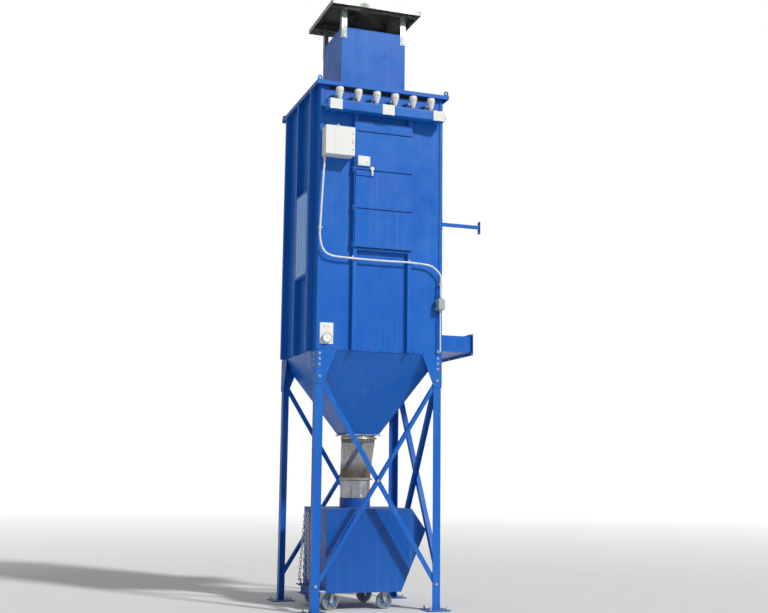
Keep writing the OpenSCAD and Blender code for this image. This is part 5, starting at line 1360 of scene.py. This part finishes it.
wheel_rib = pattern("wheel_rib", draw_wheel_rib)
for body, (x, y) in wheel_spots.items():
    axle = Matrix.Translation((x, y, axle_z)) @ Matrix.Rotation(math.pi / 2, 4, "X")
    bm = bmesh.new()
    turned(bm, both_faces(tread), axle, 72)
    piece(body + "_tread", bm, tread_grey, "wheel_grey", body, stands_for=[body])
    bm = bmesh.new()
    turned(bm, both_faces(hub), axle, 60)
    stamp(bm, wheel_rib, [axle @ Matrix.Rotation(i * math.pi / 3, 4, "Z") for i in range(6)])
    piece(body + "_hub", bm, hub_blue, "wheel_grey", body)

# %% Caster nuts, bolts and seals
fork_half, plate_z = 0.0395, 0.235
for body, wheels in (("front_swivel", ["front_swivel_wheel"]), ("back_swivel", ["back_swivel_wheel"]),
                     ("collector", ["front_rigid_wheel", "back_rigid_wheel"])):
    nuts = [at((x, y + side * fork_half, axle_z), (0, side, 0), 17)
            for x, y in [wheel_spots[wheel] for wheel in wheels] for side in BOTH]
    stamped(body + "_axle_ends", m12_bolt, nuts, zinc_plate, "galvanised", body=body)
plate_bolts = [at((x + dx, y + dy, plate_z), DOWN, 700 * dx) for x in (swivel_x, rigid_x)
               for y in (front_row, back_row) for dx in (-0.044, 0.044) for dy in (-0.037, 0.037)]
stamped("caster_plate_bolts", m12_bolt, plate_bolts, zinc_plate, "galvanised")
bm = bmesh.new()
for y in (front_row, back_row):
    turned(bm, [(0.0290, 0.2245), (0.0330, 0.2238), (0.0345, 0.2265), (0.0330, 0.2300),
                (0.0345, 0.2335), (0.0290, 0.2345), (0.0290, 0.2245)],
           Matrix.Translation((swivel_x, y, 0)), 40)
piece("swivel_race_seals", bm, seal_black, "galvanised")

# %% [markdown]
# The inlet is on the right wall, and higher up a tie holds the housing to the wall beside it.
# The duct is welded to the housing all round, and bolts wait in its flange. The tie has a
# welded foot at one end and two bolts at the other.

# %% Inlet and wall tie
duct_y, duct_low, duct_high, wall_face, flange_back = 0.550, 3.200, 3.410, 0.8205, 1.350
tie_x, tie_end, tie_y, tie_z, tie_w = 0.828, 1.348, -0.805, 4.800, 0.050
tie_low, tie_top = tie_z - tie_w / 2, tie_z + tie_w / 2
beads = []
for x in (wall_face, flange_back):
    for y in (-duct_y, duct_y):
        beads += bead((x, y, duct_low), (x, y, duct_high))
    for z in (duct_low, duct_high):
        beads += bead((x, -duct_y, z), (x, duct_y, z))
for x in (tie_x, tie_end):
    beads += bead((x, tie_y, tie_low), (x, tie_y, tie_top))
    beads += bead((x, tie_y, tie_top), (x, tie_y + tie_w, tie_top))
for y in (-0.815, -0.745):
    beads += bead((wall_face, y, tie_z - 0.080), (wall_face, y, tie_z + 0.080))
stamped("inlet_and_tie_welds", ripple, beads, blue_enamel, "blue_paint")

duct_mid, flange_half = (duct_low + duct_high) / 2, 0.1225
flange_bolts = [at((flange_back, y, duct_mid + side * flange_half), LEFT, 90 * y)
                for y in (-0.5675, -0.190, 0.190, 0.5675) for side in BOTH]
flange_bolts += [at((tie_end, -0.780, tie_z + side * 0.055), LEFT, 30) for side in BOTH]
stamped("flange_and_tie_bolts", m12_bolt, flange_bolts, zinc_plate, "galvanised")

# %% [markdown]
# The front wall has a few scuffs low down at its left, where something was dragged along it. Each is a
# shallow scratch that bends a little and is drawn along a short line of points, in a dark colour that
# is painted shade, the shadow in the scratch.

# %% Scuffs
scuffs = [[(-0.779, 3.944), (-0.681, 3.929), (-0.583, 3.917)],
          [(-0.750, 3.823), (-0.705, 3.845), (-0.663, 3.829)],
          [(-0.712, 3.864), (-0.654, 3.855), (-0.614, 3.820)]]
bm = bmesh.new()
for scuff in scuffs:
    scratch = through([Vector((x, -face_y + 0.0006, z)) for x, z in scuff], 8)
    bm.from_mesh(sweep("scuff", scratch, 0.0012, 3))
piece("front_scuffs", bm, scratches_and_painted_shade, "blue_paint", smooth=60)
